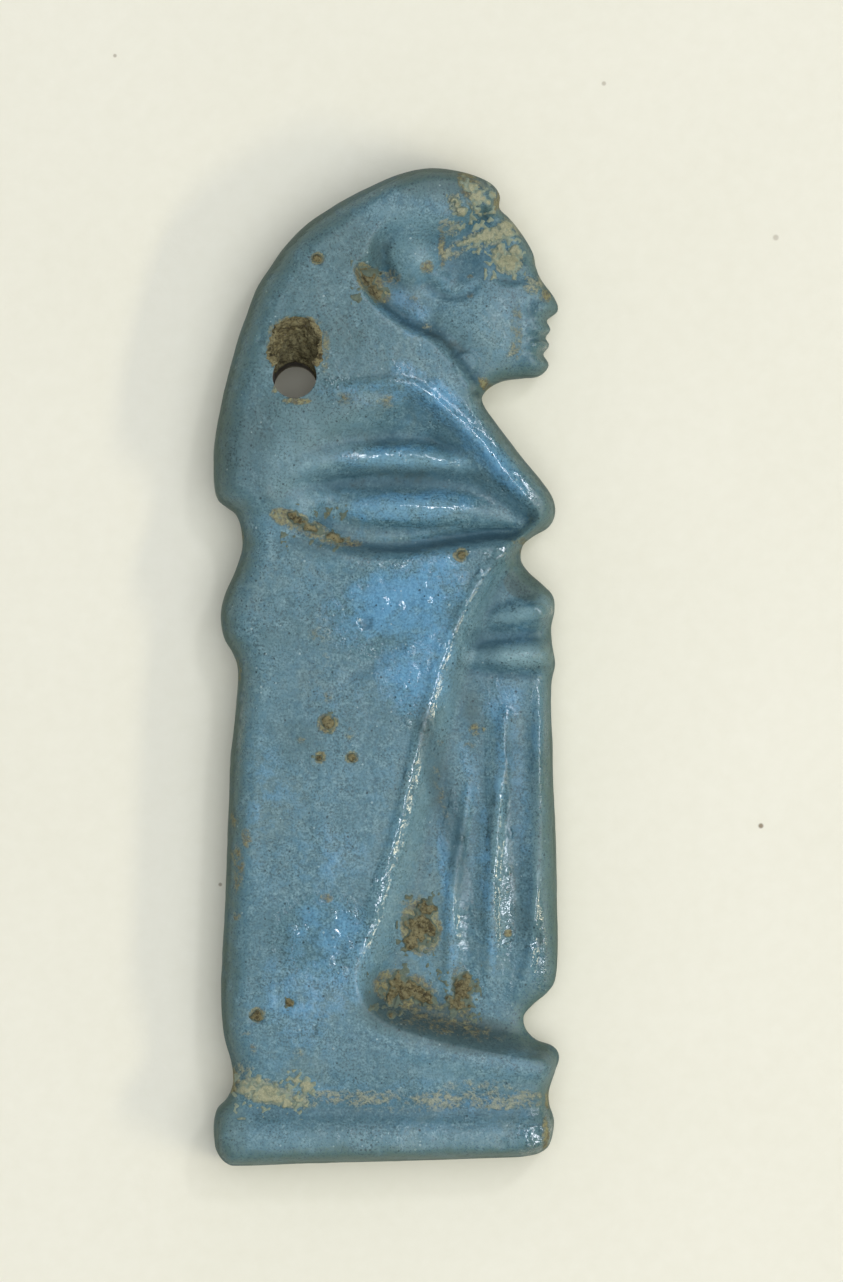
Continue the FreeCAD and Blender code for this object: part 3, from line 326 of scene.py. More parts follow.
# Films of ochre earth and of chalky lime on the glaze
OCHRE_FILMS = [
    (372, 284, 26, 13, 1.0, -50), (384, 278, 20, 12, 0.5), (427, 268, 8, 8, 0.75),
    (470, 190, 12, 24, 0.7, 20), (497, 203, 4, 16, 0.7, -10), (442, 250, 5, 22, 0.6),
    (413, 300, 6, 5, 0.6), (470, 277, 4, 3, 0.45), (470, 296, 4, 4, 0.4),
    (300, 524, 36, 11, 0.8, -22), (340, 541, 26, 7, 0.7, -8), (345, 400, 14, 9, 0.4),
    (386, 402, 12, 9, 0.45), (545, 297, 7, 8, 0.7), (516, 330, 8, 36, 0.45),
    (440, 1024, 80, 14, 0.35, -12), (421, 926, 22, 32, 1.0, 10), (414, 905, 30, 24, 0.3),
    (405, 990, 36, 22, 0.75, -15), (462, 990, 12, 30, 0.75, 5), (430, 1000, 40, 14, 0.35, -10),
    (258, 1014, 10, 9, 0.7), (290, 1001, 6, 5, 0.6), (247, 838, 6, 12, 0.6, 10),
    (238, 862, 8, 26, 0.45, 8), (236, 885, 4, 12, 0.5), (237, 915, 5, 6, 0.5),
    (234, 820, 6, 12, 0.35), (328, 723, 12, 12, 0.9), (328, 697, 6, 8, 0.4), (320, 757, 7, 7, 0.9),
    (352, 757, 8, 7, 0.9), (318, 260, 8, 7, 0.95), (461, 555, 9, 8, 0.95), (327, 897, 8, 6, 0.6),
    (508, 933, 5, 4, 0.9), (313, 634, 7, 9, 0.35), (477, 730, 10, 8, 0.6), (470, 745, 8, 5, 0.35),
    (440, 790, 6, 60, 0.3, 12), (246, 1032, 8, 5, 0.4), (299, 1052, 9, 7, 0.4, -40),
    (254, 1048, 6, 8, 0.4), (350, 735, 7, 10, 0.35), (238, 669, 6, 14, 0.45),
    (240, 535, 6, 14, 0.4), (276, 345, 10, 26, 0.6), (297, 402, 16, 4, 0.8),
    (276, 390, 4, 12, 0.6, -15), (325, 352, 7, 26, 0.6), (298, 324, 26, 8, 0.7),
    (486, 385, 6, 14, 0.7, 45), (526, 552, 7, 8, 0.9), (520, 541, 10, 5, 0.5),
    (232, 1080, 8, 14, 0.9), (545, 1135, 5, 22, 0.6), (548, 1100, 4, 12, 0.6),
    (440, 742, 5, 4, 0.4), (302, 739, 6, 5, 0.35),
]
CHALK_FILMS = [
    (508, 262, 16, 14, 1.0), (498, 235, 30, 10, 0.9, 25), (470, 240, 26, 6, 0.6, 30),
    (512, 228, 16, 7, 0.7, -35), (450, 228, 14, 10, 0.55), (452, 252, 16, 10, 0.6, 30),
    (463, 246, 14, 8, 0.5, 30), (476, 192, 10, 14, 0.6, -20), (455, 205, 9, 14, 0.5),
    (533, 285, 12, 12, 0.6), (541, 262, 10, 14, 0.35), (514, 352, 12, 8, 0.4, 20),
    (428, 328, 8, 6, 0.4), (265, 1090, 34, 14, 1.0, -12), (300, 1100, 22, 10, 0.65),
    (350, 1096, 60, 10, 0.5), (245, 1070, 14, 12, 0.45), (450, 1098, 60, 11, 0.55),
    (500, 1098, 50, 13, 0.6), (480, 1084, 50, 8, 0.35), (380, 1092, 40, 8, 0.3),
    (282, 345, 12, 14, 0.5), (326, 640, 10, 40, 0.25, 10), (404, 1108, 60, 5, 0.3),
]

# Earth and lime that lie in the hollows and on the relief: for each node its kind, its thickness
# in millimetres, and its blobs, in the same order as a soft spot
DEPOSITS = {
    "sash_earth": ("earth", 0.17, [
        (421, 928, 19, 22, 1, 10), (427, 906, 12, 12, 0.8, 40), (414, 941, 12, 10, 0.7)]),
    "hem_earth_rear": ("earth", 0.16, [
        (405, 988, 22, 15, 1, -15), (420, 996, 20, 11, 0.8, -20), (388, 995, 18, 10, 0.5, -30)]),
    "hem_earth_front": ("earth", 0.14, [
        (461, 990, 10, 18, 0.9, 5), (458, 1003, 18, 9, 0.8, -10), (466, 976, 6, 9, 0.5)]),
    "ear_crease_earth": ("earth", 0.15, [
        (368, 279, 10, 12, 0.9, 25), (376, 292, 12, 9, 0.9, -45), (362, 270, 8, 6, 0.6, -30)]),
    "neck_crumb": ("earth", 0.26, [(526, 551, 6, 7, 1, 10), (524, 545, 4, 4, 0.7)]),
    "collar_earth": ("earth", 0.12, [
        (297, 520, 13, 8, 0.8, -25), (313, 528, 14, 8, 0.9, -30), (334, 538, 14, 6, 0.7, -20)]),
    "brow_lime_crust": ("lime", 0.06, [
        (507, 263, 15, 12, 1, -10), (497, 252, 10, 8, 0.6, 30), (514, 252, 9, 7, 0.8, 10)]),
    "wig_lime_crust": ("lime", 0.05, [
        (476, 239, 14, 5, 0.7, 20), (490, 236, 16, 9, 0.9, 20), (506, 229, 12, 8, 0.8, -30),
        (465, 243, 10, 4, 0.5, 20)]),
    "wig_front_nodule": ("lime", 0.2, [(461, 214, 9, 7, 1, 15), (456, 206, 7, 7, 0.6)]),
    "wig_crown_crust": ("lime", 0.05, [
        (471, 189, 9, 8, 0.7, -20), (475, 199, 9, 9, 0.8, 30), (483, 203, 10, 6, 0.5, -30)]),
    "base_lime_crust": ("lime", 0.08, [
        (247, 1088, 13, 10, 0.9), (265, 1092, 18, 12, 1, 10), (284, 1100, 16, 9, 0.8, -15),
        (259, 1079, 8, 6, 0.6)]),
    "base_lime_crumb": ("lime", 0.06, [(306, 1086, 8, 6, 0.8, 20), (300, 1096, 8, 6, 0.6)]),
    "pit_earth_wig": ("earth", 0.1, [(318, 260, 6, 5.5, 1)]),
    "pit_earth_chest": ("earth", 0.12, [(461, 555, 6.5, 6, 1)]),
    "pit_earth_side": ("earth", 0.12, [(328, 723, 8.5, 8, 1)]),
    "pit_earth_side_rear": ("earth", 0.1, [(320, 757, 5.5, 5, 1)]),
    "pit_earth_side_front": ("earth", 0.1, [(352, 757, 6, 5.5, 1)]),
    "pit_earth_foot": ("earth", 0.12, [(257, 1015, 8.5, 8, 1)]),
    "pit_earth_foot_small": ("earth", 0.1, [(290, 1001, 5.5, 5, 1)]),
}

# Rows of the wall round the body: height over the back and how far it is drawn in
WALL_ROWS = [
    (1.85, -0.02), (1.4, -0.01), (0.95, 0.0), (0.55, 0.02), (0.28, 0.05), (0.1, 0.11), (0.02, 0.2),
]

# Uneven swells of the glaze and of its walls, from their lowest to their highest place
BROAD_SWELL = 0.12
NARROW_SWELL = 0.05
WALL_SWELL = 0.1

# Crusts: spacing of their points, how far they lie over the glaze, and how far their rims sink
CRUST_STEP_PX = 0.8
CRUST_LIFT = 0.05
RIM_SINK = 0.12

SMOOTH_TABLE = 256


def smooth_step(t):
    t = np.clip(t, 0.0, 1.0)
    return t * t * (3 - 2 * t)


def grain(px, py, size, seed):
    """Soft random heights from 0 to 1, with humps about a size across."""
    count = SMOOTH_TABLE
    table = np.random.default_rng(seed).random((count, count))
    u = (px * 0.8 + py * 0.6) / size
    v = (py * 0.8 - px * 0.6) / size
    i = np.floor(u).astype(int)
    j = np.floor(v).astype(int)
    u = smooth_step(u - i)
    v = smooth_step(v - j)
    i, j = i % count, j % count
    right, above = (i + 1) % count, (j + 1) % count
    near = table[i, j] * (1 - u) + table[right, j] * u
    far = table[i, above] * (1 - u) + table[right, above] * u
    return near * (1 - v) + far * v


def rough(px, py, size, seed):
    """Random heights from 0 to 1 with three sizes of hump."""
    broad = grain(px, py, size, seed)
    middle = grain(py, -px, size * 0.47, seed + 1)
    small = grain(-px, py, size * 0.23, seed + 2)
    return (broad * 4 + middle * 2 + small) / 7


def curve_points(table, closed, step):
    """Points of a smooth curve through a table's places, with what the table gives there."""
    rows = np.array(table, float)
    count = len(rows)
    points = []
    for i in range(count if closed else count - 1):
        picks = np.arange(i - 1, i + 3)
        picks = picks % count if closed else np.clip(picks, 0, count - 1)
        a, b, c, d = rows[picks]
        parts = max(1, round(math.dist(b[:2], c[:2]) / step))
        t = (np.arange(parts) / parts)[:, None]
        bend = 2 * a - 5 * b + 4 * c - d + t * (3 * (b - c) + d - a)
        points.append(b + t * (c - a + t * bend) / 2)
    if not closed:
        points.append(rows[-1:])
    return np.vstack(points)


def nearest(px, py, line, closed, reach):
    """Distance of places from a line, and the line's own values at the nearest point."""
    gap = np.full(px.shape, np.inf)
    values = np.zeros((len(px), line.shape[1] - 2))
    ends = np.roll(line, -1, axis=0) if closed else line[1:]
    for a, b in zip(line, ends):
        low = np.minimum(a[:2], b[:2]) - reach
        high = np.maximum(a[:2], b[:2]) + reach
        held = np.nonzero((px > low[0]) & (px < high[0]) & (py > low[1]) & (py < high[1]))[0]
        if not len(held):
            continue
        run = b[:2] - a[:2]
        x = px[held] - a[0]
        y = py[held] - a[1]
        t = np.clip((x * run[0] + y * run[1]) / max(run @ run, 1e-9), 0, 1)
        there = np.hypot(x - t * run[0], y - t * run[1])
        closer = there < gap[held]
        held = held[closer]
        gap[held] = there[closer]
        values[held] = a[2:] + t[closer, None] * (b[2:] - a[2:])
    return gap, values


def inside(px, py, line):
    """Whether places are inside a closed line."""
    odd = np.zeros(px.shape, bool)
    for a, b in zip(line, np.roll(line, -1, axis=0)):
        if a[1] == b[1]:
            continue
        crossed = (a[1] > py) != (b[1] > py)
        odd ^= crossed & (px < a[0] + (py - a[1]) / (b[1] - a[1]) * (b[0] - a[0]))
    return odd


def field(px, py, table):
    """Share of the way down or up the slope of a sunk or raised field, for each place."""
    line = curve_points(table, True, 4)
    gap, values = nearest(px, py, line, True, line[:, 2].max())
    t = np.clip(gap / np.maximum(values[:, 0], 1e-6), 0, 1)
    t[~np.isfinite(gap)] = 1
    crisp = 1 - (1 - t) ** 2
    share = crisp + values[:, 1] * (smooth_step(t) - crisp)
    share[~inside(px, py, line)] = 0
    return share


def blob(px, py, row):
    """A soft spot: 1 at its middle and 0 from its rim outwards. A row may leave out its turn."""
    x0, y0, half_wide, half_high, _, turn = (*row, 0)[:6]
    angle = math.radians(turn)
    x = px - x0
    y = y0 - py
    u = (x * math.cos(angle) + y * math.sin(angle)) / half_wide
    v = (y * math.cos(angle) - x * math.sin(angle)) / half_high
    return np.clip(1 - u * u - v * v, 0, 1)


def soft_sum(rows, px, py):
    """The strongest of the soft spots at each place."""
    return np.max([row[4] * np.sqrt(blob(px, py, row)) for row in rows], axis=0)


outline = curve_points(OUTLINE_PX, True, 3)


def relief(px, py):
    """Height of the glaze over the flat back, in millimetres."""
    x = (px - MIDDLE_PX[0]) * PX_MM
    middle = FIGURE_WIDTH * CROWN_SHARE
    z = BODY_THICKNESS - BODY_CROWN * ((x - middle + FIGURE_WIDTH / 2) / middle) ** 2
    z += WIG_RISE * field(px, py, WIG_PX_SHARES)
    up = np.clip((BROW_LOW_PX - py) / (BROW_LOW_PX - BROW_HIGH_PX), 0, 1)
    out = np.clip((px - CHEEK_REAR_PX) / (CHEEK_FRONT_PX - CHEEK_REAR_PX), 0, 1)
    floor = BODY_THICKNESS - FACE_DEPTH + BROW_RISE * up * out
    z += (floor - z) * field(px, py, FACE_PX_SHARES)
    z += (BODY_THICKNESS - CHEST_DEPTH - z) * field(px, py, CHEST_PX_SHARES)
    down = smooth_step((py - HEM_START_PX) / (HEM_END_PX - HEM_START_PX))
    floor = BODY_THICKNESS - LINEN_DEPTH - HEM_DROP * down
    z += (floor - z) * field(px, py, LINEN_PX_SHARES)
    rows, shares = zip(*GROOVE_PX_SHARES)
    z -= GROOVE_DEPTH * np.interp(py, rows, shares)
    for row in HEAD_PX_SHARES:
        z += row[4] * RIDGE_HEIGHT * blob(px, py, row) ** 1.5
    for table in STROKES_PX_SHARES.values():
        line = curve_points(table, False, 4)
        gap, values = nearest(px, py, line, False, line[:, 2].max())
        half = np.maximum(values[:, 0], 1e-6)
        z += values[:, 1] * RIDGE_HEIGHT * np.clip(1 - (gap / half) ** 2, 0, 1) ** 2
    z += (rough(px, py, 70, 3) - 0.5) * BROAD_SWELL + (rough(px, py, 20, 7) - 0.5) * NARROW_SWELL
    for cx, cy, radius, depth in BUBBLES:
        z -= depth * smooth_step(blob(px, py, (cx, cy, radius, radius, depth)) * 1.6)
    gap, _ = nearest(px, py, outline, True, REAR_ROLL / PX_MM)
    turn = smooth_step((x / FIGURE_WIDTH + 1 / 2 - ROLL_START_SHARE) / ROLL_SPAN_SHARE)
    roll = REAR_ROLL + (FRONT_ROLL - REAR_ROLL) * turn
    low = smooth_step((py - PLINTH_START_PX) / (PLINTH_END_PX - PLINTH_START_PX))
    roll = (roll + (PLINTH_ROLL - roll) * low) / PX_MM
    t = np.clip(gap / roll, 0, 1)
    return EDGE_THICKNESS + (z - EDGE_THICKNESS) * np.sqrt(1 - (1 - t) ** 2)


def in_metres(px, py, z):
    """Places in the row frame, from pixels and millimetres."""
    x = (px - MIDDLE_PX[0]) * PX_MM
    y = (MIDDLE_PX[1] - py) * PX_MM
    return np.column_stack([x, y, z]) * MM


def in_pixels(mesh):
    """A mesh's points as pixels, and their heights in millimetres."""
    co = np.zeros(len(mesh.vertices) * 3)
    mesh.vertices.foreach_get("co", co)
    co = co.reshape(-1, 3) / MM
    return MIDDLE_PX[0] + co[:, 0] / PX_MM, MIDDLE_PX[1] - co[:, 1] / PX_MM, co[:, 2]


def add_object(name, data):
    made = bpy.data.objects.new(name, data)
    bpy.context.scene.collection.objects.link(made)
    return made


def new_piece(name, points, faces):
    mesh = bpy.data.meshes.new(name)
    mesh.from_pydata(points.tolist(), [], faces)
    mesh.update()
    return add_object(name, mesh)


def finish_piece(piece, finish, node):
    """Smooth shading, the finish, and the piece's place in the table."""
    piece.data.polygons.foreach_set("use_smooth", [True] * len(piece.data.polygons))
    piece.data.materials.clear()
    piece.data.materials.append(finish)
    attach(piece, "root")
    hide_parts(node)


def note(piece, name, values):
    """Keeps a value for each point of a piece, for its finish to read."""
    attribute = piece.data.attributes.new(name, "FLOAT", "POINT")
    attribute.data.foreach_set("value", np.asarray(values, np.float32))


def corner(rightward, upward):
    return outline[np.argmax(outline[:, 0] * rightward - outline[:, 1] * upward), :2]


def crossings(axis, levels, furthest):
    """Where the outline crosses levels of x (axis 0) or y (axis 1), at its far or near side."""
    a = outline[:, :2]
    b = np.roll(a, -1, axis=0)
    level = levels[:, None]
    with np.errstate(divide="ignore", invalid="ignore"):
        t = (level - a[:, axis]) / (b[:, axis] - a[:, axis])
        other = a[:, 1 - axis] + t * (b[:, 1 - axis] - a[:, 1 - axis])
    other[(a[:, axis] > level) == (b[:, axis] > level)] = -np.inf if furthest else np.inf
    return other.max(axis=1) if furthest else other.min(axis=1)


def side(a, b, t, axis, furthest):
    """Places of the outline between two corners, at given shares of the way."""
    level = a[axis] + t * (b[axis] - a[axis])
    line = np.empty((len(t), 2))
    line[:, axis] = level
    line[:, 1 - axis] = crossings(axis, level, furthest)
    line[0], line[-1] = a, b
    return line


def even_run(start, end, count, axis, furthest):
    """Shares of the way that space out a side of the outline evenly along its own length."""
    t = np.linspace(0, 1, 4000)
    line = side(start, end, t, axis, furthest)
    run = np.hypot(np.diff(line[:, 1 - axis]), np.diff(line[:, axis]))
    run = np.concatenate([[0], np.cumsum(run)])
    return np.interp(np.linspace(0, run[-1], count), run, t)


def with_rim_rows(t, span):
    """More rows close to both ends, where the surface turns down steeply."""
    near = np.array([0.3, 0.9, 1.8, 3.0]) / span
    kept = t[(t > near[-1] * 1.2) & (t < 1 - near[-1] * 1.2)]
    return np.concatenate([[0], near, kept, 1 - near[::-1], [1]])


def glaze_body():
    """The glazed body: its relief, the walls round it and a flat underside."""
    low_rear, low_front = corner(-1, -1), corner(1, -1)
    high_rear, high_front = corner(-0.49, 1), corner(1.2, 1)
    us = with_rim_rows(np.linspace(0, 1, 160), 330)
    vs = with_rim_rows(even_run(low_front, high_front, 470, 1, True), 990)
    foot = side(low_rear, low_front, us, 0, True)
    crown = side(high_rear, high_front, us, 0, False)
    rear = side(low_rear, high_rear, vs, 1, False)
    front = side(low_front, high_front, vs, 1, True)
    u, v = us[:, None, None], vs[None, :, None]
    place = (1 - u) * rear[None] + u * front[None] + (1 - v) * foot[:, None] + v * crown[:, None]
    place = place - (1 - v) * ((1 - u) * low_rear + u * low_front)
    place = place - v * ((1 - u) * high_rear + u * high_front)
    columns, rows = len(us), len(vs)
    px = place[:, :, 0].ravel()
    py = place[:, :, 1].ravel()
    points = [in_metres(px, py, relief(px, py))]
    index = np.arange(columns * rows).reshape(columns, rows)
    quads = [index[:-1, :-1], index[1:, :-1], index[1:, 1:], index[:-1, 1:]]
    faces = np.stack(quads, axis=-1).reshape(-1, 4).tolist()

    rim = np.concatenate([index[:, 0], index[-1, 1:], index[-2::-1, -1], index[0, -2:0:-1]])
    rim_places = np.column_stack([px[rim], py[rim]])
    run = np.roll(rim_places, -2, axis=0) - np.roll(rim_places, 2, axis=0)
    run /= np.maximum(np.hypot(run[:, 0], run[:, 1]), 1e-6)[:, None]
    inward = np.column_stack([run[:, 1], -run[:, 0]])
    above = rim
    total = columns * rows
    for height, inset in WALL_ROWS:
        wave = rough(px[rim] + height * 31, py[rim], 40, 21) - 0.5
        drawn_in = (inset + wave * WALL_SWELL * (height < EDGE_THICKNESS)) / PX_MM
        wall = rim_places + inward * drawn_in[:, None]
        points.append(in_metres(wall[:, 0], wall[:, 1], np.full(len(rim), height)))
        below = np.arange(total, total + len(rim))
        total += len(rim)
        strip = np.stack([above, below, np.roll(below, -1), np.roll(above, -1)], axis=-1)
        faces.extend(strip.tolist())
        above = below
    foot_ring = above[:columns]
    front_ring = above[columns - 1:columns + rows - 1]
    crown_ring = above[columns + rows - 2:2 * columns + rows - 2][::-1]
    rear_ring = np.append(above[2 * columns + rows - 3:], above[0])[::-1]
    strips = [rear_ring[1:-2], rear_ring[2:-1], front_ring[2:-1], front_ring[1:-2]]
    faces.extend(np.stack(strips, axis=-1).tolist())
    faces.append([rear_ring[1], front_ring[1], *foot_ring[::-1].tolist()])
    faces.append([rear_ring[-2], *crown_ring.tolist(), front_ring[-2]])
    return new_piece("glazed_figure", np.vstack(points), faces)


def axis_frame(place_px, height, tilt):
    """Where an axis of the hole starts and which way it leans, in millimetres."""
    x = (place_px[0] - MIDDLE_PX[0]) * PX_MM
    y = (MIDDLE_PX[1] - place_px[1]) * PX_MM
    angle = math.radians(tilt)
    return Vector((x, y, height)), Vector((0, math.sin(angle), math.cos(angle)))


def tube(name, place_px, height, tilt, radii, reach):
    """A round tool that follows an axis of the hole."""
    start, way = axis_frame(place_px, height, tilt)
    turn = way.to_track_quat("Z", "Y").to_matrix().to_4x4()
    span = reach[1] - reach[0]
    middle = (start + way * (reach[0] + span / 2)) * MM
    bpy.ops.object.select_all(action="DESELECT")
    bpy.ops.mesh.primitive_cone_add(
        vertices=96, radius1=radii[0] * MM, radius2=radii[1] * MM, depth=span * MM,
        location=(0, 0, 0))
    tool = bpy.context.object
    tool.name = name
    tool.data.transform(Matrix.Translation(middle) @ turn)
    return tool


def bore_out(piece):
    """Cuts the suspension hole and its worn mouth through a piece."""
    straight = tube(
        "straight_tool", BORE_BACK_PX, 0, BORE_TILT, (BORE_RADIUS, BORE_RADIUS), (-2, 8))
    worn = tube(
        "worn_tool", MOUTH_FLOOR_PX, MOUTH_FLOOR_HEIGHT, MOUTH_TILT,
        (MOUTH_FLOOR_RADIUS, MOUTH_RADIUS), (0, MOUTH_LENGTH))
    for tool in (straight, worn):
        cut = piece.modifiers.new(tool.name, "BOOLEAN")
        cut.operation = "DIFFERENCE"
        cut.solver = "EXACT"
        cut.object = tool
    bpy.context.view_layer.objects.active = piece
    for tool in (straight, worn):
        bpy.ops.object.modifier_apply(modifier=tool.name)
        bpy.data.objects.remove(tool)


def hollows(px, py):
    """How far the relief lies below its surroundings: 1 in a deep crease, -1 on a sharp crest."""
    step = 3.0
    xs = np.arange(196, 580, step)
    ys = np.arange(150, 1190, step)
    wide, tall = np.meshgrid(xs, ys, indexing="ij")
    held = relief(wide.ravel(), tall.ravel()).reshape(wide.shape)
    spread = held.copy()
    for _ in range(10):
        spread[1:-1, 1:-1] = (spread[:-2, 1:-1] + spread[2:, 1:-1] + spread[1:-1, :-2]
                              + spread[1:-1, 2:] + spread[1:-1, 1:-1]) / 5
    depth = np.clip((spread - held) / 0.12, -1, 1)
    i = np.clip(((px - xs[0]) / step).astype(int), 0, len(xs) - 2)
    j = np.clip(((py - ys[0]) / step).astype(int), 0, len(ys) - 2)
    return depth[i, j]


def crust_share(px, py, blobs, number, uneven):
    """How far inside a crust's ragged edge places are, with 0 at the edge."""
    share = np.full(len(px), -0.5)
    for row in blobs:
        share = np.maximum(share, row[4] * (blob(px, py, row) * 1.5 - 0.35))
    broad = (rough(px, py, 9.5, 40 + number) - 0.5) * 1.6 * uneven
    return share + (broad + (grain(px, py, 3.4, 20 + number) - 0.5) * (2.4 - 1.6 * uneven))


def sink_rim(held, outward=None):
    """Draws the open rim of a mesh down, and outwards if asked to, so that it leaves no gap."""
    held.verts.ensure_lookup_table()
    ways = {tuple(vert.co): Vector(way) for vert, way in zip(held.verts, outward or [])}
    rim = [edge for edge in held.edges if edge.is_boundary]
    sunk = bmesh.ops.extrude_edge_only(held, edges=rim)
    for item in sunk["geom"]:
        if isinstance(item, bmesh.types.BMVert):
            way = ways.get(tuple(item.co), Vector())
            item.co += (way * 0.3 - Vector((0, 0, RIM_SINK))) * MM


def crust(node, thickness, blobs, number, uneven):
    """A granular crust that follows the relief and thins out to a ragged edge."""
    rows = np.array([row[:4] for row in blobs], float)
    reach = rows[:, 2:4].max(axis=1) + 3
    x0, x1 = (rows[:, 0] - reach).min(), (rows[:, 0] + reach).max()
    y0, y1 = (rows[:, 1] - reach).min(), (rows[:, 1] + reach).max()
    xs, ys = np.arange(x0, x1, CRUST_STEP_PX), np.arange(y0, y1, CRUST_STEP_PX)
    wide, tall = (places.ravel() for places in np.meshgrid(xs, ys, indexing="ij"))
    px = wide + (grain(wide, tall, 2.0, 91) - 0.5) * 0.5
    py = tall + (grain(wide, tall, 2.0, 92) - 0.5) * 0.5
    share = crust_share(px, py, blobs, number, uneven)
    near, _ = nearest(px, py, outline, True, 10)
    share[~inside(px, py, outline[:, :2]) | (near < 1.2)] = -1
    grains = grain(px, py, 2.2, 60 + number) * 0.5 + grain(px, py, 4.4, 80 + number) * 0.5
    full = smooth_step(share / uneven) * (CRUST_LIFT + thickness * (0.2 + grains))
    top = relief(px, py) + full - 0.02 * (share < 0.1)
    index = np.arange(len(px)).reshape(len(xs), len(ys))
    quads = [index[:-1, 1:], index[1:, 1:], index[1:, :-1], index[:-1, :-1]]
    quads = np.stack(quads, axis=-1).reshape(-1, 4)
    quads = quads[share[quads].max(axis=1) > 0.05]
    used, renamed = np.unique(quads, return_inverse=True)
    name = node.replace("pit_earth", "pit_fill") + "_crumbs"
    points = in_metres(px[used], py[used], top[used])
    piece = new_piece(name, points, renamed.reshape(-1, 4).tolist())
    held = bmesh.new()
    held.from_mesh(piece.data)
    sink_rim(held)
    bottom = [edge for edge in held.edges if edge.is_boundary]
    bmesh.ops.holes_fill(held, edges=bottom, sides=0)
    bmesh.ops.triangulate(held, faces=[face for face in held.faces if len(face.verts) > 4])
    held.to_mesh(piece.data)
    held.free()
    x, y, _ = in_pixels(piece.data)
    share = crust_share(x, y, blobs, number, uneven)
    note(piece, "rim", np.clip(1 - share / 0.7, 0, 1))
    return piece


def off_axis(places, start, way):
    """Which way and how far places lie from an axis."""
    off = places - np.array(start)
    off -= (off @ np.array(way))[:, None] * np.array(way)
    return off, np.linalg.norm(off, axis=1)


def hole_lining():
    """Granular earth on the worn slope of the hole's mouth."""
    start, way = axis_frame(MOUTH_FLOOR_PX, MOUTH_FLOOR_HEIGHT, MOUTH_TILT)
    bore = axis_frame(BORE_BACK_PX, 0, BORE_TILT)
    across_way = np.array((1.0, 0.0, 0.0))
    up_way = np.cross(np.array(way), across_way)
    turns, levels = 190, 84
    angle = np.linspace(0, 2 * math.pi, turns, endpoint=False)[:, None] + np.zeros(levels)
    rise = np.linspace(-0.5, 3.3, levels)[None, :] + np.zeros((turns, 1))
    outward = np.cos(angle)[..., None] * across_way + np.sin(angle)[..., None] * up_way
    wall = MOUTH_FLOOR_RADIUS + (MOUTH_RADIUS - MOUTH_FLOOR_RADIUS) * rise / MOUTH_LENGTH
    arc, climb = angle.ravel() * 22, rise.ravel() * 25
    lumps = rough(arc, climb, 9, 5) * 0.3 + grain(arc, climb, 2.4, 6) * 0.1
    thick = (lumps - 0.08).reshape(angle.shape)
    axis = np.array(start) + rise[..., None] * np.array(way)
    bare = (axis + (wall + 0.04)[..., None] * outward).reshape(-1, 3)
    flat = (axis + (wall - thick)[..., None] * outward).reshape(-1, 3)
    _, bare_gap = off_axis(bare, *bore)
    off, gap = off_axis(flat, *bore)
    flat += off / gap[:, None] * np.maximum(BORE_RADIUS - 0.07 - gap, 0)[:, None]
    roof = relief(MIDDLE_PX[0] + flat[:, 0] / PX_MM, MIDDLE_PX[1] - flat[:, 1] / PX_MM)
    real = (bare_gap > BORE_RADIUS + 0.02) & (bare[:, 2] < roof + 0.25)
    flat[:, 2] = np.minimum(flat[:, 2], roof + CRUST_LIFT)
    index = np.arange(turns * levels).reshape(turns, levels)
    ring = np.roll(index, -1, axis=0)
    quads = [index[:, :-1], index[:, 1:], ring[:, 1:], ring[:, :-1]]
    quads = np.stack(quads, axis=-1).reshape(-1, 4)
    quads = quads[real[quads].all(axis=1)]
    used, renamed = np.unique(quads, return_inverse=True)
    piece = new_piece("hole_mouth_earth", flat[used] * MM, renamed.reshape(-1, 4).tolist())
    held = bmesh.new()
    held.from_mesh(piece.data)
    sink_rim(held, outward.reshape(-1, 3)[used].tolist())
    held.to_mesh(piece.data)
    held.free()
    note(piece, "rim", np.zeros(len(piece.data.vertices)))
    return piece


# Finishes

def tint(red, green, blue):
    """A colour as it looks on a screen, 0 to 255, in the linear values that shaders use."""
    parts = [value / 255 for value in (red, green, blue)]
    return (*[p / 12.92 if p <= 0.04045 else ((p + 0.055) / 1.055) ** 2.4 for p in parts], 1)


class Value:
    """A node's output. Arithmetic on it adds the nodes that work out the result."""

    def __init__(self, socket):
        self.socket = socket
        self.tree = socket.id_data

    def calc(self, operation, *others):
        return make("Math", dict(enumerate([self, *others])), operation=operation)

    def __add__(self, other):
        return self.calc("ADD", other)

    def __sub__(self, other):
        return self.calc("SUBTRACT", other)

    def __rsub__(self, other):
        return self.calc("MULTIPLY_ADD", -1.0, other)

    def __mul__(self, other):
        return self.calc("MULTIPLY", other)

    def __truediv__(self, other):
        return self.calc("DIVIDE", other)

    def __lt__(self, other):
        return self.calc("LESS_THAN", other)

    def __gt__(self, other):
        return self.calc("GREATER_THAN", other)


def feed(node, feeds):
    """Links values to a node's inputs, and sets plain numbers and colours on them."""
    for socket, value in feeds.items():
        if isinstance(value, Value):
            node.id_data.links.new(value.socket, node.inputs[socket])
        else:
            node.inputs[socket].default_value = value


def add_node(tree, kind, feeds=None, **settings):
    node = tree.nodes.new("ShaderNode" + kind)
    for name, value in settings.items():
        setattr(node, name, value)
    feed(node, feeds or {})
    return node


def make(kind, feeds, output=0, **settings):
    """One output of a new node, in the tree of the values that feed it."""
    tree = next(value.tree for value in feeds.values() if isinstance(value, Value))
    return Value(add_node(tree, kind, feeds, **settings).outputs[output])


def ease(value, low, high):
    """0 below a value and 1 above another, with a soft change between."""
    feeds = {"Value": value, "From Min": low, "From Max": high}
    return make("MapRange", feeds, interpolation_type="SMOOTHSTEP")


def lay_over(share, under, over):
    return make("Mix", {0: share, 6: under, 7: over}, 2, data_type="RGBA")


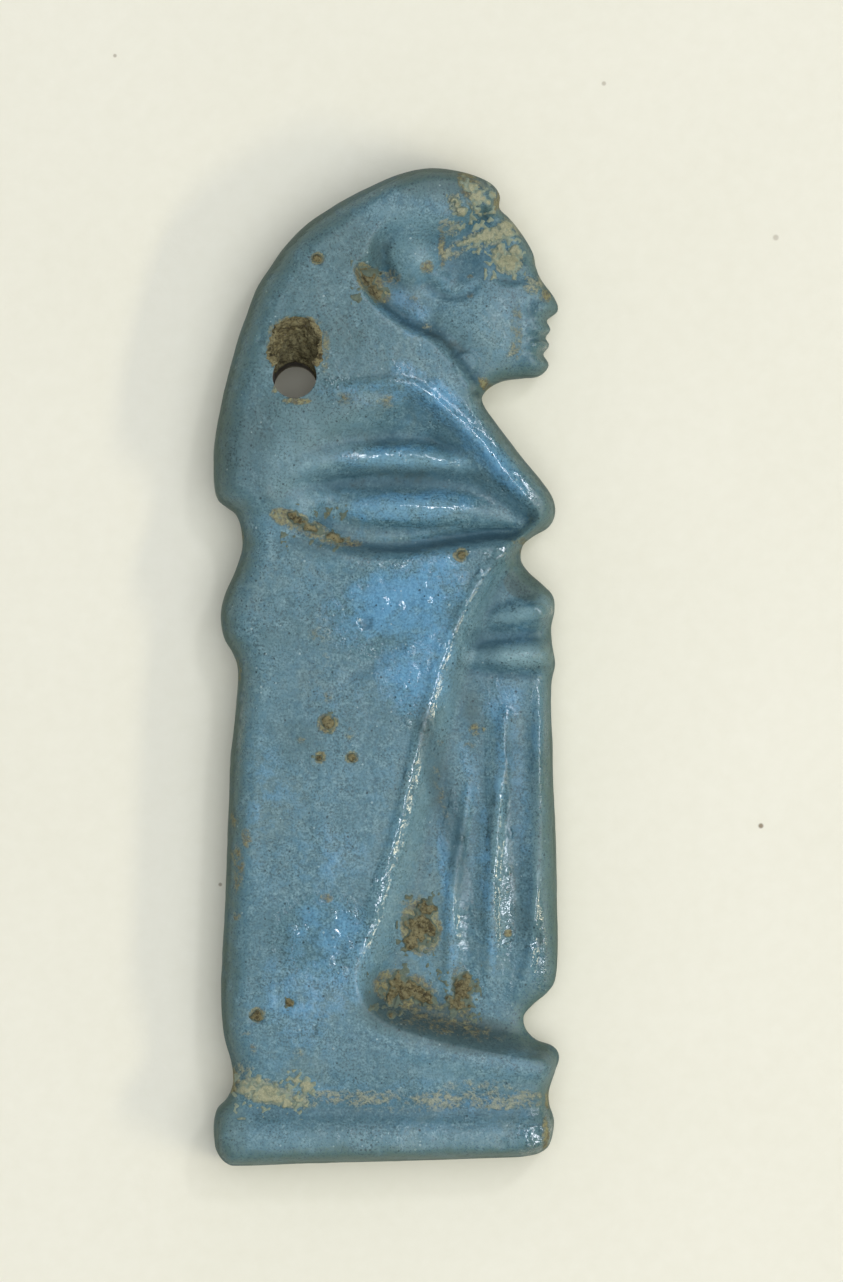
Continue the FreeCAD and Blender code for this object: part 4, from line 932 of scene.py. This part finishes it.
def lay_value(share, under, over):
    return make("Mix", {0: share, 2: under, 3: over}, data_type="FLOAT")


def clouds(where, scale, detail=2.0, roughness=0.55):
    feeds = {"Vector": where, "Scale": scale, "Detail": detail, "Roughness": roughness}
    return make("TexNoise", feeds)


def cells(where, scale, spread="3D"):
    """Distance from the middle of the nearest cell, and two random values of that cell."""
    feeds = {"Vector": where, "Scale": scale}
    cell = add_node(where.tree, "TexVoronoi", feeds, voronoi_dimensions=spread)
    colour = Value(cell.outputs["Color"])
    parts = add_node(where.tree, "SeparateColor", {0: colour})
    return Value(cell.outputs["Distance"]), Value(parts.outputs[0]), Value(parts.outputs[1])


def kept(where, name):
    """A value that the piece keeps for each of its points."""
    return Value(add_node(where.tree, "Attribute", attribute_name=name).outputs["Fac"])


def steps(value, stops):
    """A colour for a value, from stops that give a place and a colour."""
    ramp = add_node(value.tree, "ValToRGB", {0: value})
    line = ramp.color_ramp
    while len(line.elements) < len(stops):
        line.elements.new(0.5)
    for element, (place, colour) in zip(line.elements, stops):
        element.position = place
        element.color = colour
    return Value(ramp.outputs[0])


def pressed(height, millimetres):
    """Fine relief: the direction of a surface that the height lifts by up to its distance."""
    return make("Bump", {"Height": height, "Distance": millimetres * MM})


def is_camera_ray(tree):
    return Value(add_node(tree, "LightPath").outputs["Is Camera Ray"])


def new_finish(name):
    finish = bpy.data.materials.new(name)
    finish.use_nodes = True
    tree = finish.node_tree
    where = Value(add_node(tree, "TexCoord").outputs["Object"])
    return finish, tree.nodes["Principled BSDF"], where


def make_crumbs():
    """Grains of earth or lime: a colour from pale to dark, and how high each grain stands."""
    tree = bpy.data.node_groups.new("crumbs", "ShaderNodeTree")
    inputs = {"Place": "Vector", "Grains": "Float", "Pale": "Color", "Middle": "Color",
              "Dark": "Color"}
    for name, kind in inputs.items():
        tree.interface.new_socket(name, in_out="INPUT", socket_type="NodeSocket" + kind)
    for name, kind in {"Color": "Color", "Height": "Float"}.items():
        tree.interface.new_socket(name, in_out="OUTPUT", socket_type="NodeSocket" + kind)
    start = tree.nodes.new("NodeGroupInput")
    where, size, pale, middle, dark = (Value(start.outputs[name]) for name in inputs)
    distance, chance, _ = cells(where, size)
    coarse = clouds(where, size * 0.3, 4.0, 0.65)
    dust = clouds(where, size * 1.1, 5.0, 0.75)
    colour = lay_over(ease(coarse, 0.4, 0.62), middle, pale)
    colour = lay_over(ease(coarse, 0.47, 0.36), colour, dark)
    colour = lay_over(ease(dust, 0.5, 0.64), colour, pale)
    colour = lay_over(ease(dust, 0.48, 0.36), colour, dark)
    colour = lay_over(ease(chance, 0.7, 0.95) * 0.5, colour, dark)
    height = coarse + (1.0 - distance) * 0.5 + dust * 1.3
    feed(tree.nodes.new("NodeGroupOutput"), {"Color": colour, "Height": height})
    return tree


CRUMBS = make_crumbs()
SOIL = {"Pale": tint(130, 124, 92), "Middle": tint(100, 93, 64), "Dark": tint(68, 61, 42)}
OCHRE = {"Pale": tint(152, 146, 98), "Middle": tint(128, 114, 64), "Dark": tint(96, 82, 48)}
CHALK = {"Pale": tint(168, 167, 138), "Middle": tint(154, 156, 128), "Dark": tint(134, 140, 116)}
SAND = {"Pale": tint(206, 200, 182), "Middle": tint(182, 176, 156), "Dark": tint(140, 132, 112)}
BACKDROP = tint(235, 233, 218)


def crumbs(where, grains, colours):
    """Colour and height of crumbs, with so many grains to a metre."""
    feeds = {"Place": where, "Grains": grains, **colours}
    outputs = add_node(where.tree, "Group", feeds, node_tree=CRUMBS).outputs
    return Value(outputs["Color"]), Value(outputs["Height"])


def glaze_finish():
    """Turquoise glaze, matt and speckled where it is thin and clear blue where it has pooled, with
    painted shade in its hollows and painted light on lit slopes and ridges.
    """
    finish, shader, where = new_finish("turquoise_glaze")
    broad = clouds(where, 320.0, 4.0)
    middle = clouds(where, 1500.0, 4.0, 0.62)
    patchy = clouds(where, 3800.0, 3.0, 0.6)
    fine = clouds(where, 11000.0, 3.0, 0.65)
    pool = ease(kept(where, "pool") + middle * 1.6 + broad * 0.6 + fine * 0.8, 1.6, 2.6)

    grain_mix = patchy * 0.42 + fine * 0.58
    matt = steps(grain_mix, [
        (0.33, tint(46, 78, 90)), (0.44, tint(73, 108, 119)), (0.53, tint(92, 128, 139)),
        (0.66, tint(124, 159, 168))])
    matt = lay_over(ease(broad, 0.54, 0.3) * 0.22, matt, tint(66, 100, 108))
    matt = lay_over(ease(broad, 0.5, 0.64) * 0.4, matt, tint(102, 126, 126))
    matt = lay_over(ease(patchy, 0.5, 0.36) * 0.35, matt, tint(82, 126, 146))
    matt = lay_over(ease(middle, 0.44, 0.6) * 0.4, matt, tint(86, 132, 152))
    clear = steps(grain_mix, [
        (0.32, tint(78, 132, 168)), (0.48, tint(92, 149, 186)), (0.64, tint(110, 166, 200))])
    colour = lay_over(pool * 0.92, matt, clear)
    moss = kept(where, "moss") + ease(broad, 0.6, 0.36) * 0.4 + (middle - 0.5) * 1.5
    moss = ease(moss, 0.1, 1.1) * (1.0 - pool * 0.8)
    colour = lay_over(moss * 0.65, colour, tint(74, 101, 100))
    # Paler glaze, and painted light on lit slopes and ridges
    colour = lay_over(kept(where, "pale") * 0.5, colour, tint(128, 162, 168))

    crowd = ease(clouds(where, 700.0, 2.0), 0.42, 0.62)
    pitted = (crowd * 0.42 + 0.12) * (1.0 - pool) + moss * 0.38
    grit = ease(fine, 0.46, 0.4) * pitted.calc("MAXIMUM", kept(where, "edge"))
    colour = lay_over(grit * 0.75, colour, tint(44, 64, 66))
    distance, chance, size = cells(where, 5200.0)
    spot = distance < size * 0.27
    dark = spot * ((crowd + moss * 0.9) * 0.3 + chance > 0.96) * 0.75
    colour = lay_over(dark, colour, tint(34, 56, 62))
    # Pale specks: painted glints of tiny sparkles
    colour = lay_over(spot * (chance < 0.06) * 0.45, colour, tint(176, 198, 200))

    # Glaze lying thick in the hollows, and painted shade there: deep blue, or grey where it is
    # mossy
    hollow_glaze_and_shade = kept(where, "hollow_glaze_and_shade")
    depth = lay_over(ease(moss, 0.2, 0.9), tint(36, 76, 92), tint(38, 54, 54))
    colour = lay_over(hollow_glaze_and_shade * 0.7, colour, depth)
    edge = ease(kept(where, "edge") + (middle - 0.5) * 1.2 + (fine - 0.5) * 2.0, 0.2, 1.2)
    colour = lay_over(edge * 0.75, colour, tint(78, 100, 86))

    def film(name, grains, colours, patches, specks, low):
        """Where a film of earth or lime lies, its colour and the height of its grains."""
        there = kept(where, name)
        share = there + (middle - 0.5) * 1.4 + (patchy - 0.5) * patches + (fine - 0.5) * specks
        return ease(share, low, 0.8) * ease(there, 0.05, 0.4), *crumbs(where, grains, colours)

    ochre, ochre_colour, ochre_height = film("ochre", 9000.0, OCHRE, 1.4, 0.9, 0.15)
    colour = lay_over(ochre * 0.75, colour, ochre_colour)
    chalk, chalk_colour, chalk_height = film("chalk", 15000.0, CHALK, 2.0, 1.2, 0.2)
    colour = lay_over(chalk * 0.75, colour, chalk_colour)

    shiny = ease(kept(where, "gloss") + patchy * 1.4, 0.9, 1.5).calc("MAXIMUM", pool * 0.8)
    gloss = lay_value(shiny, fine * 0.3 + 0.38, 0.12)
    gloss = lay_value(hollow_glaze_and_shade * 0.9, gloss, 0.75)
    gloss = lay_value(ochre.calc("MAXIMUM", chalk), gloss, 0.85)

    distance, chance, size = cells(where, 950.0, "2D")
    radius = size * 0.18 + 0.14
    away = distance / radius
    blisters = (1.0 - away * away).calc("MAXIMUM", 0.0) * (chance > 0.3) * (shiny * radius)
    lumps = clouds(where, 4200.0, 3.0, 0.6) + fine * 0.3
    orange_peel = clouds(where, 1500.0, 3.0, 0.5)
    height = lumps * (1.0 - shiny * 0.8) + orange_peel * (shiny * 3.2 + 2.4)
    height = height + blisters * 11.0 - dark * 0.8
    height = height + ochre_height * (ochre * 1.2) + chalk_height * (chalk * 1.4)
    feed(shader, {"Base Color": colour, "Roughness": gloss, "Normal": pressed(height, 0.016)})
    return finish


def crumb_finish(name, colours, grains, depth, thin):
    """Dry, granular earth or lime, which lets the glaze's colour through where it is thin."""
    finish, shader, where = new_finish(name)
    colour, height = crumbs(where, grains, colours)
    film = ease(kept(where, "rim") + clouds(where, 9000.0, 3.0) * 0.8, 0.4, 0.95)
    feed(shader, {
        "Base Color": lay_over(film * 0.8, colour, thin), "Roughness": 0.92,
        "Specular IOR Level": 0.25, "Normal": pressed(height, depth)})
    return finish


def paste_finish():
    """Bare quartz paste: pale and sandy at the back, darkened by earth inside the hole."""
    finish, shader, where = new_finish("quartz_paste")
    colour, height = crumbs(where, 6500.0, SAND)
    buried = ease(make("SeparateXYZ", {0: where}, 2), 0.05 * MM, 0.6 * MM)
    stain = clouds(where, 500.0, 4.0)
    dirty = steps(stain, [
        (0.3, tint(84, 74, 62)), (0.6, tint(120, 116, 108)), (0.75, tint(150, 150, 146))])
    colour = lay_over(buried, colour, dirty)
    colour = lay_over(ease(stain, 0.5, 0.7) * 0.5, colour, tint(128, 110, 80))
    feed(shader, {"Base Color": colour, "Roughness": 0.9, "Normal": pressed(height, 0.03)})
    return finish


# Specks of dust on the paper: place, radius and how dark they are
DUST = [
    (763, 827, 3.5, 0.8), (778, 235, 4, 0.35), (605, 80, 3, 0.4), (113, 52, 2.5, 0.5),
    (219, 886, 2.5, 0.6),
]


def paper_finish():
    """Heavy cream paper with soft fibres and specks of dust, which fades out far off."""
    finish, shader, where = new_finish("cream_paper")
    fibres = clouds(where, 1500.0, 5.0, 0.6)
    felt = clouds(where, 90.0, 3.0)
    tone = steps(felt, [(0.3, tint(234, 232, 216)), (0.7, tint(237, 235, 220))])
    threads = steps(fibres, [(0.3, tint(229, 226, 208)), (0.7, tint(242, 240, 226))])
    colour = lay_over(0.2, tone, threads)
    for px, py, radius, depth in DUST:
        place = in_metres(px, py, 0)[0].tolist()
        away = make("VectorMath", {0: where, 1: place}, "Value", operation="DISTANCE")
        near = ease(away, radius * PX_MM * MM, radius * 0.4 * PX_MM * MM)
        colour = lay_over(near * depth, colour, tint(120, 100, 74))
    feed(shader, {
        "Base Color": colour, "Roughness": 0.95, "Specular IOR Level": 0.2,
        "Normal": pressed(fibres, 0.012)})
    far = ease(make("VectorMath", {0: where}, "Value", operation="LENGTH"), 0.08, 0.5)
    haze = Value(add_node(where.tree, "Emission", {"Color": BACKDROP}).outputs[0])
    both = make("MixShader", {
        0: far * is_camera_ray(where.tree), 1: Value(shader.outputs[0]), 2: haze})
    feed(where.tree.nodes["Material Output"], {"Surface": both})
    return finish


# The glazed body, and what its finish reads at each of its points
body = glaze_body()
bore_out(body)
body_x, body_y, body_z = in_pixels(body.data)
on_top = body_z > EDGE_THICKNESS - 0.01
linen = curve_points(LINEN_PX_SHARES, True, 4)
sash_gap, _ = nearest(body_x, body_y, linen, True, 60)
sash = inside(body_x, body_y, linen) & (body_x < 510) & (body_y < 960)
# Paler smooth glaze on the sash's slope, with painted light where the slope faces the low warm lamp
pale_and_lit_slope = np.clip((30 - sash_gap) / 12, 0, 1) * np.clip(sash_gap / 5, 0, 1) * sash * 0.5
dull_slope = np.where(sash & (sash_gap > 11) & (sash_gap < 40), 0.25, 1)
crest_gloss = np.clip(2.1 - sash_gap / 6, 0, 0.85) * (body_x < 506) * (body_y < 945)
# Thick glaze and painted shade: darker the further the relief lies below its surroundings, and at
# the listed dark places
deep_glaze_and_painted_shade = np.maximum(hollows(body_x, body_y), soft_sum(DARK_GLAZE_AND_PAINTED_SHADE, body_x, body_y))
rim_gap, _ = nearest(body_x, body_y, outline, True, 34)

note(body, "pool", soft_sum(POOLS, body_x, body_y) * on_top)
note(body, "pale", np.maximum(pale_and_lit_slope, soft_sum(PALE_GLAZE_AND_PAINTED_LIGHT, body_x, body_y)))
note(body, "moss", soft_sum(MOSSY_GLAZE, body_x, body_y))
glossy = soft_sum(GLOSSY, body_x, body_y) * dull_slope
note(body, "gloss", np.maximum(glossy, crest_gloss) * on_top)
note(body, "ochre", soft_sum(OCHRE_FILMS, body_x, body_y))
note(body, "chalk", soft_sum(CHALK_FILMS, body_x, body_y))
note(body, "hollow_glaze_and_shade", deep_glaze_and_painted_shade * on_top)
note(body, "edge", np.where(on_top, np.clip(1 - rim_gap / 30, 0, 1), 1))
finish_piece(body, glaze_finish(), "glaze_coat")

# Earth and lime in the hollows and on the relief. Lime has the more ragged edge.
CRUST_KINDS = {
    "earth": (crumb_finish("dry_earth", SOIL, 8000.0, 0.04, tint(98, 116, 106)), 1.0),
    "lime": (crumb_finish("chalky_lime", CHALK, 15000.0, 0.02, tint(132, 148, 134)), 0.65),
}
for number, (node, (kind, thickness, blobs)) in enumerate(DEPOSITS.items()):
    finish, uneven = CRUST_KINDS[kind]
    finish_piece(crust(node, thickness, blobs, number, uneven), finish, node)
finish_piece(hole_lining(), CRUST_KINDS["earth"][0], "hole_earth")

paste = paste_finish()
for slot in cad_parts["faience_core"].material_slots:
    slot.material = paste

# The sheet of paper
bpy.ops.object.select_all(action="DESELECT")
bpy.ops.mesh.primitive_plane_add(size=3, location=(0, 0, 0))
floor = bpy.context.object
floor.name = "paper_sheet"
floor.data.materials.append(paper_finish())

LAMP_DISTANCE = 0.5


def lamp(name, azimuth, elevation, size, power, colour, glints, shades=True):
    """An area lamp that points at the figure: whether the gloss shows it, and whether it lights."""
    data = bpy.data.lights.new(name, "AREA")
    data.shape = "ELLIPSE"
    data.size, data.size_y = size
    data.energy = power
    data.color = colour
    light = add_object(name, data)
    turn, lift = math.radians(azimuth), math.radians(elevation)
    level = math.cos(lift)
    place = Vector((math.cos(turn) * level, math.sin(turn) * level, math.sin(lift)))
    light.location = place * LAMP_DISTANCE
    light.rotation_mode = "QUATERNION"
    light.rotation_quaternion = place.to_track_quat("Z", "Y")
    light.visible_glossy = glints
    light.visible_diffuse = shades


# Light: a broad soft lamp overhead, a low warm one at the lower right, a small one at the upper
# right, and two long cool ones that light nothing but the gloss: one makes the glints along the
# folds and the chest, and the other those along the linen's crest
lamp("side_lamp", -21, 38, (0.2, 0.045), 0.46, (1.0, 0.87, 0.6), True)
lamp("small_lamp", 48, 58, (0.05, 0.05), 0.2, (0.92, 0.93, 1.0), True)
lamp("strip_lamp", 44, 61, (0.44, 0.034), 1.35, (0.9, 0.92, 1.0), True, False)
lamp("crest_lamp", -24, 62, (0.14, 0.036), 0.5, (0.88, 0.92, 1.0), True, False)
lamp("overhead_lamp", -30, 80, (0.52, 0.52), 1.62, (0.96, 0.98, 1.0), False)

# A pale room, a little darker as a light than as a backdrop
room = bpy.data.worlds.new("pale_room")
bpy.context.scene.world = room
room.use_nodes = True
tree = room.node_tree
background = tree.nodes["Background"]
feed(background, {"Strength": 0.39, "Color": tint(248, 250, 255)})
backdrop = Value(add_node(tree, "Background", {"Color": BACKDROP, "Strength": 1.0}).outputs[0])
either = make("MixShader", {0: is_camera_ray(tree), 1: Value(background.outputs[0]), 2: backdrop})
feed(tree.nodes["World Output"], {"Surface": either})

# Camera: straight above the sheet, with a long lens that takes in the photograph's height
PHOTO_HEIGHT_PX = 1282
LENS = 280
SENSOR_WIDTH = 36
camera_data = bpy.data.cameras.new("camera")
camera_data.lens = LENS
camera_data.sensor_width = SENSOR_WIDTH
camera_data.clip_start = 0.01
camera = add_object("camera", camera_data)
distance = LENS * PHOTO_HEIGHT_PX * PX_MM / SENSOR_WIDTH
camera.location = Vector((1.4, 1.04, 2.5 + distance)) * MM
bpy.context.scene.camera = camera
bpy.context.scene.view_settings.view_transform = "Standard"
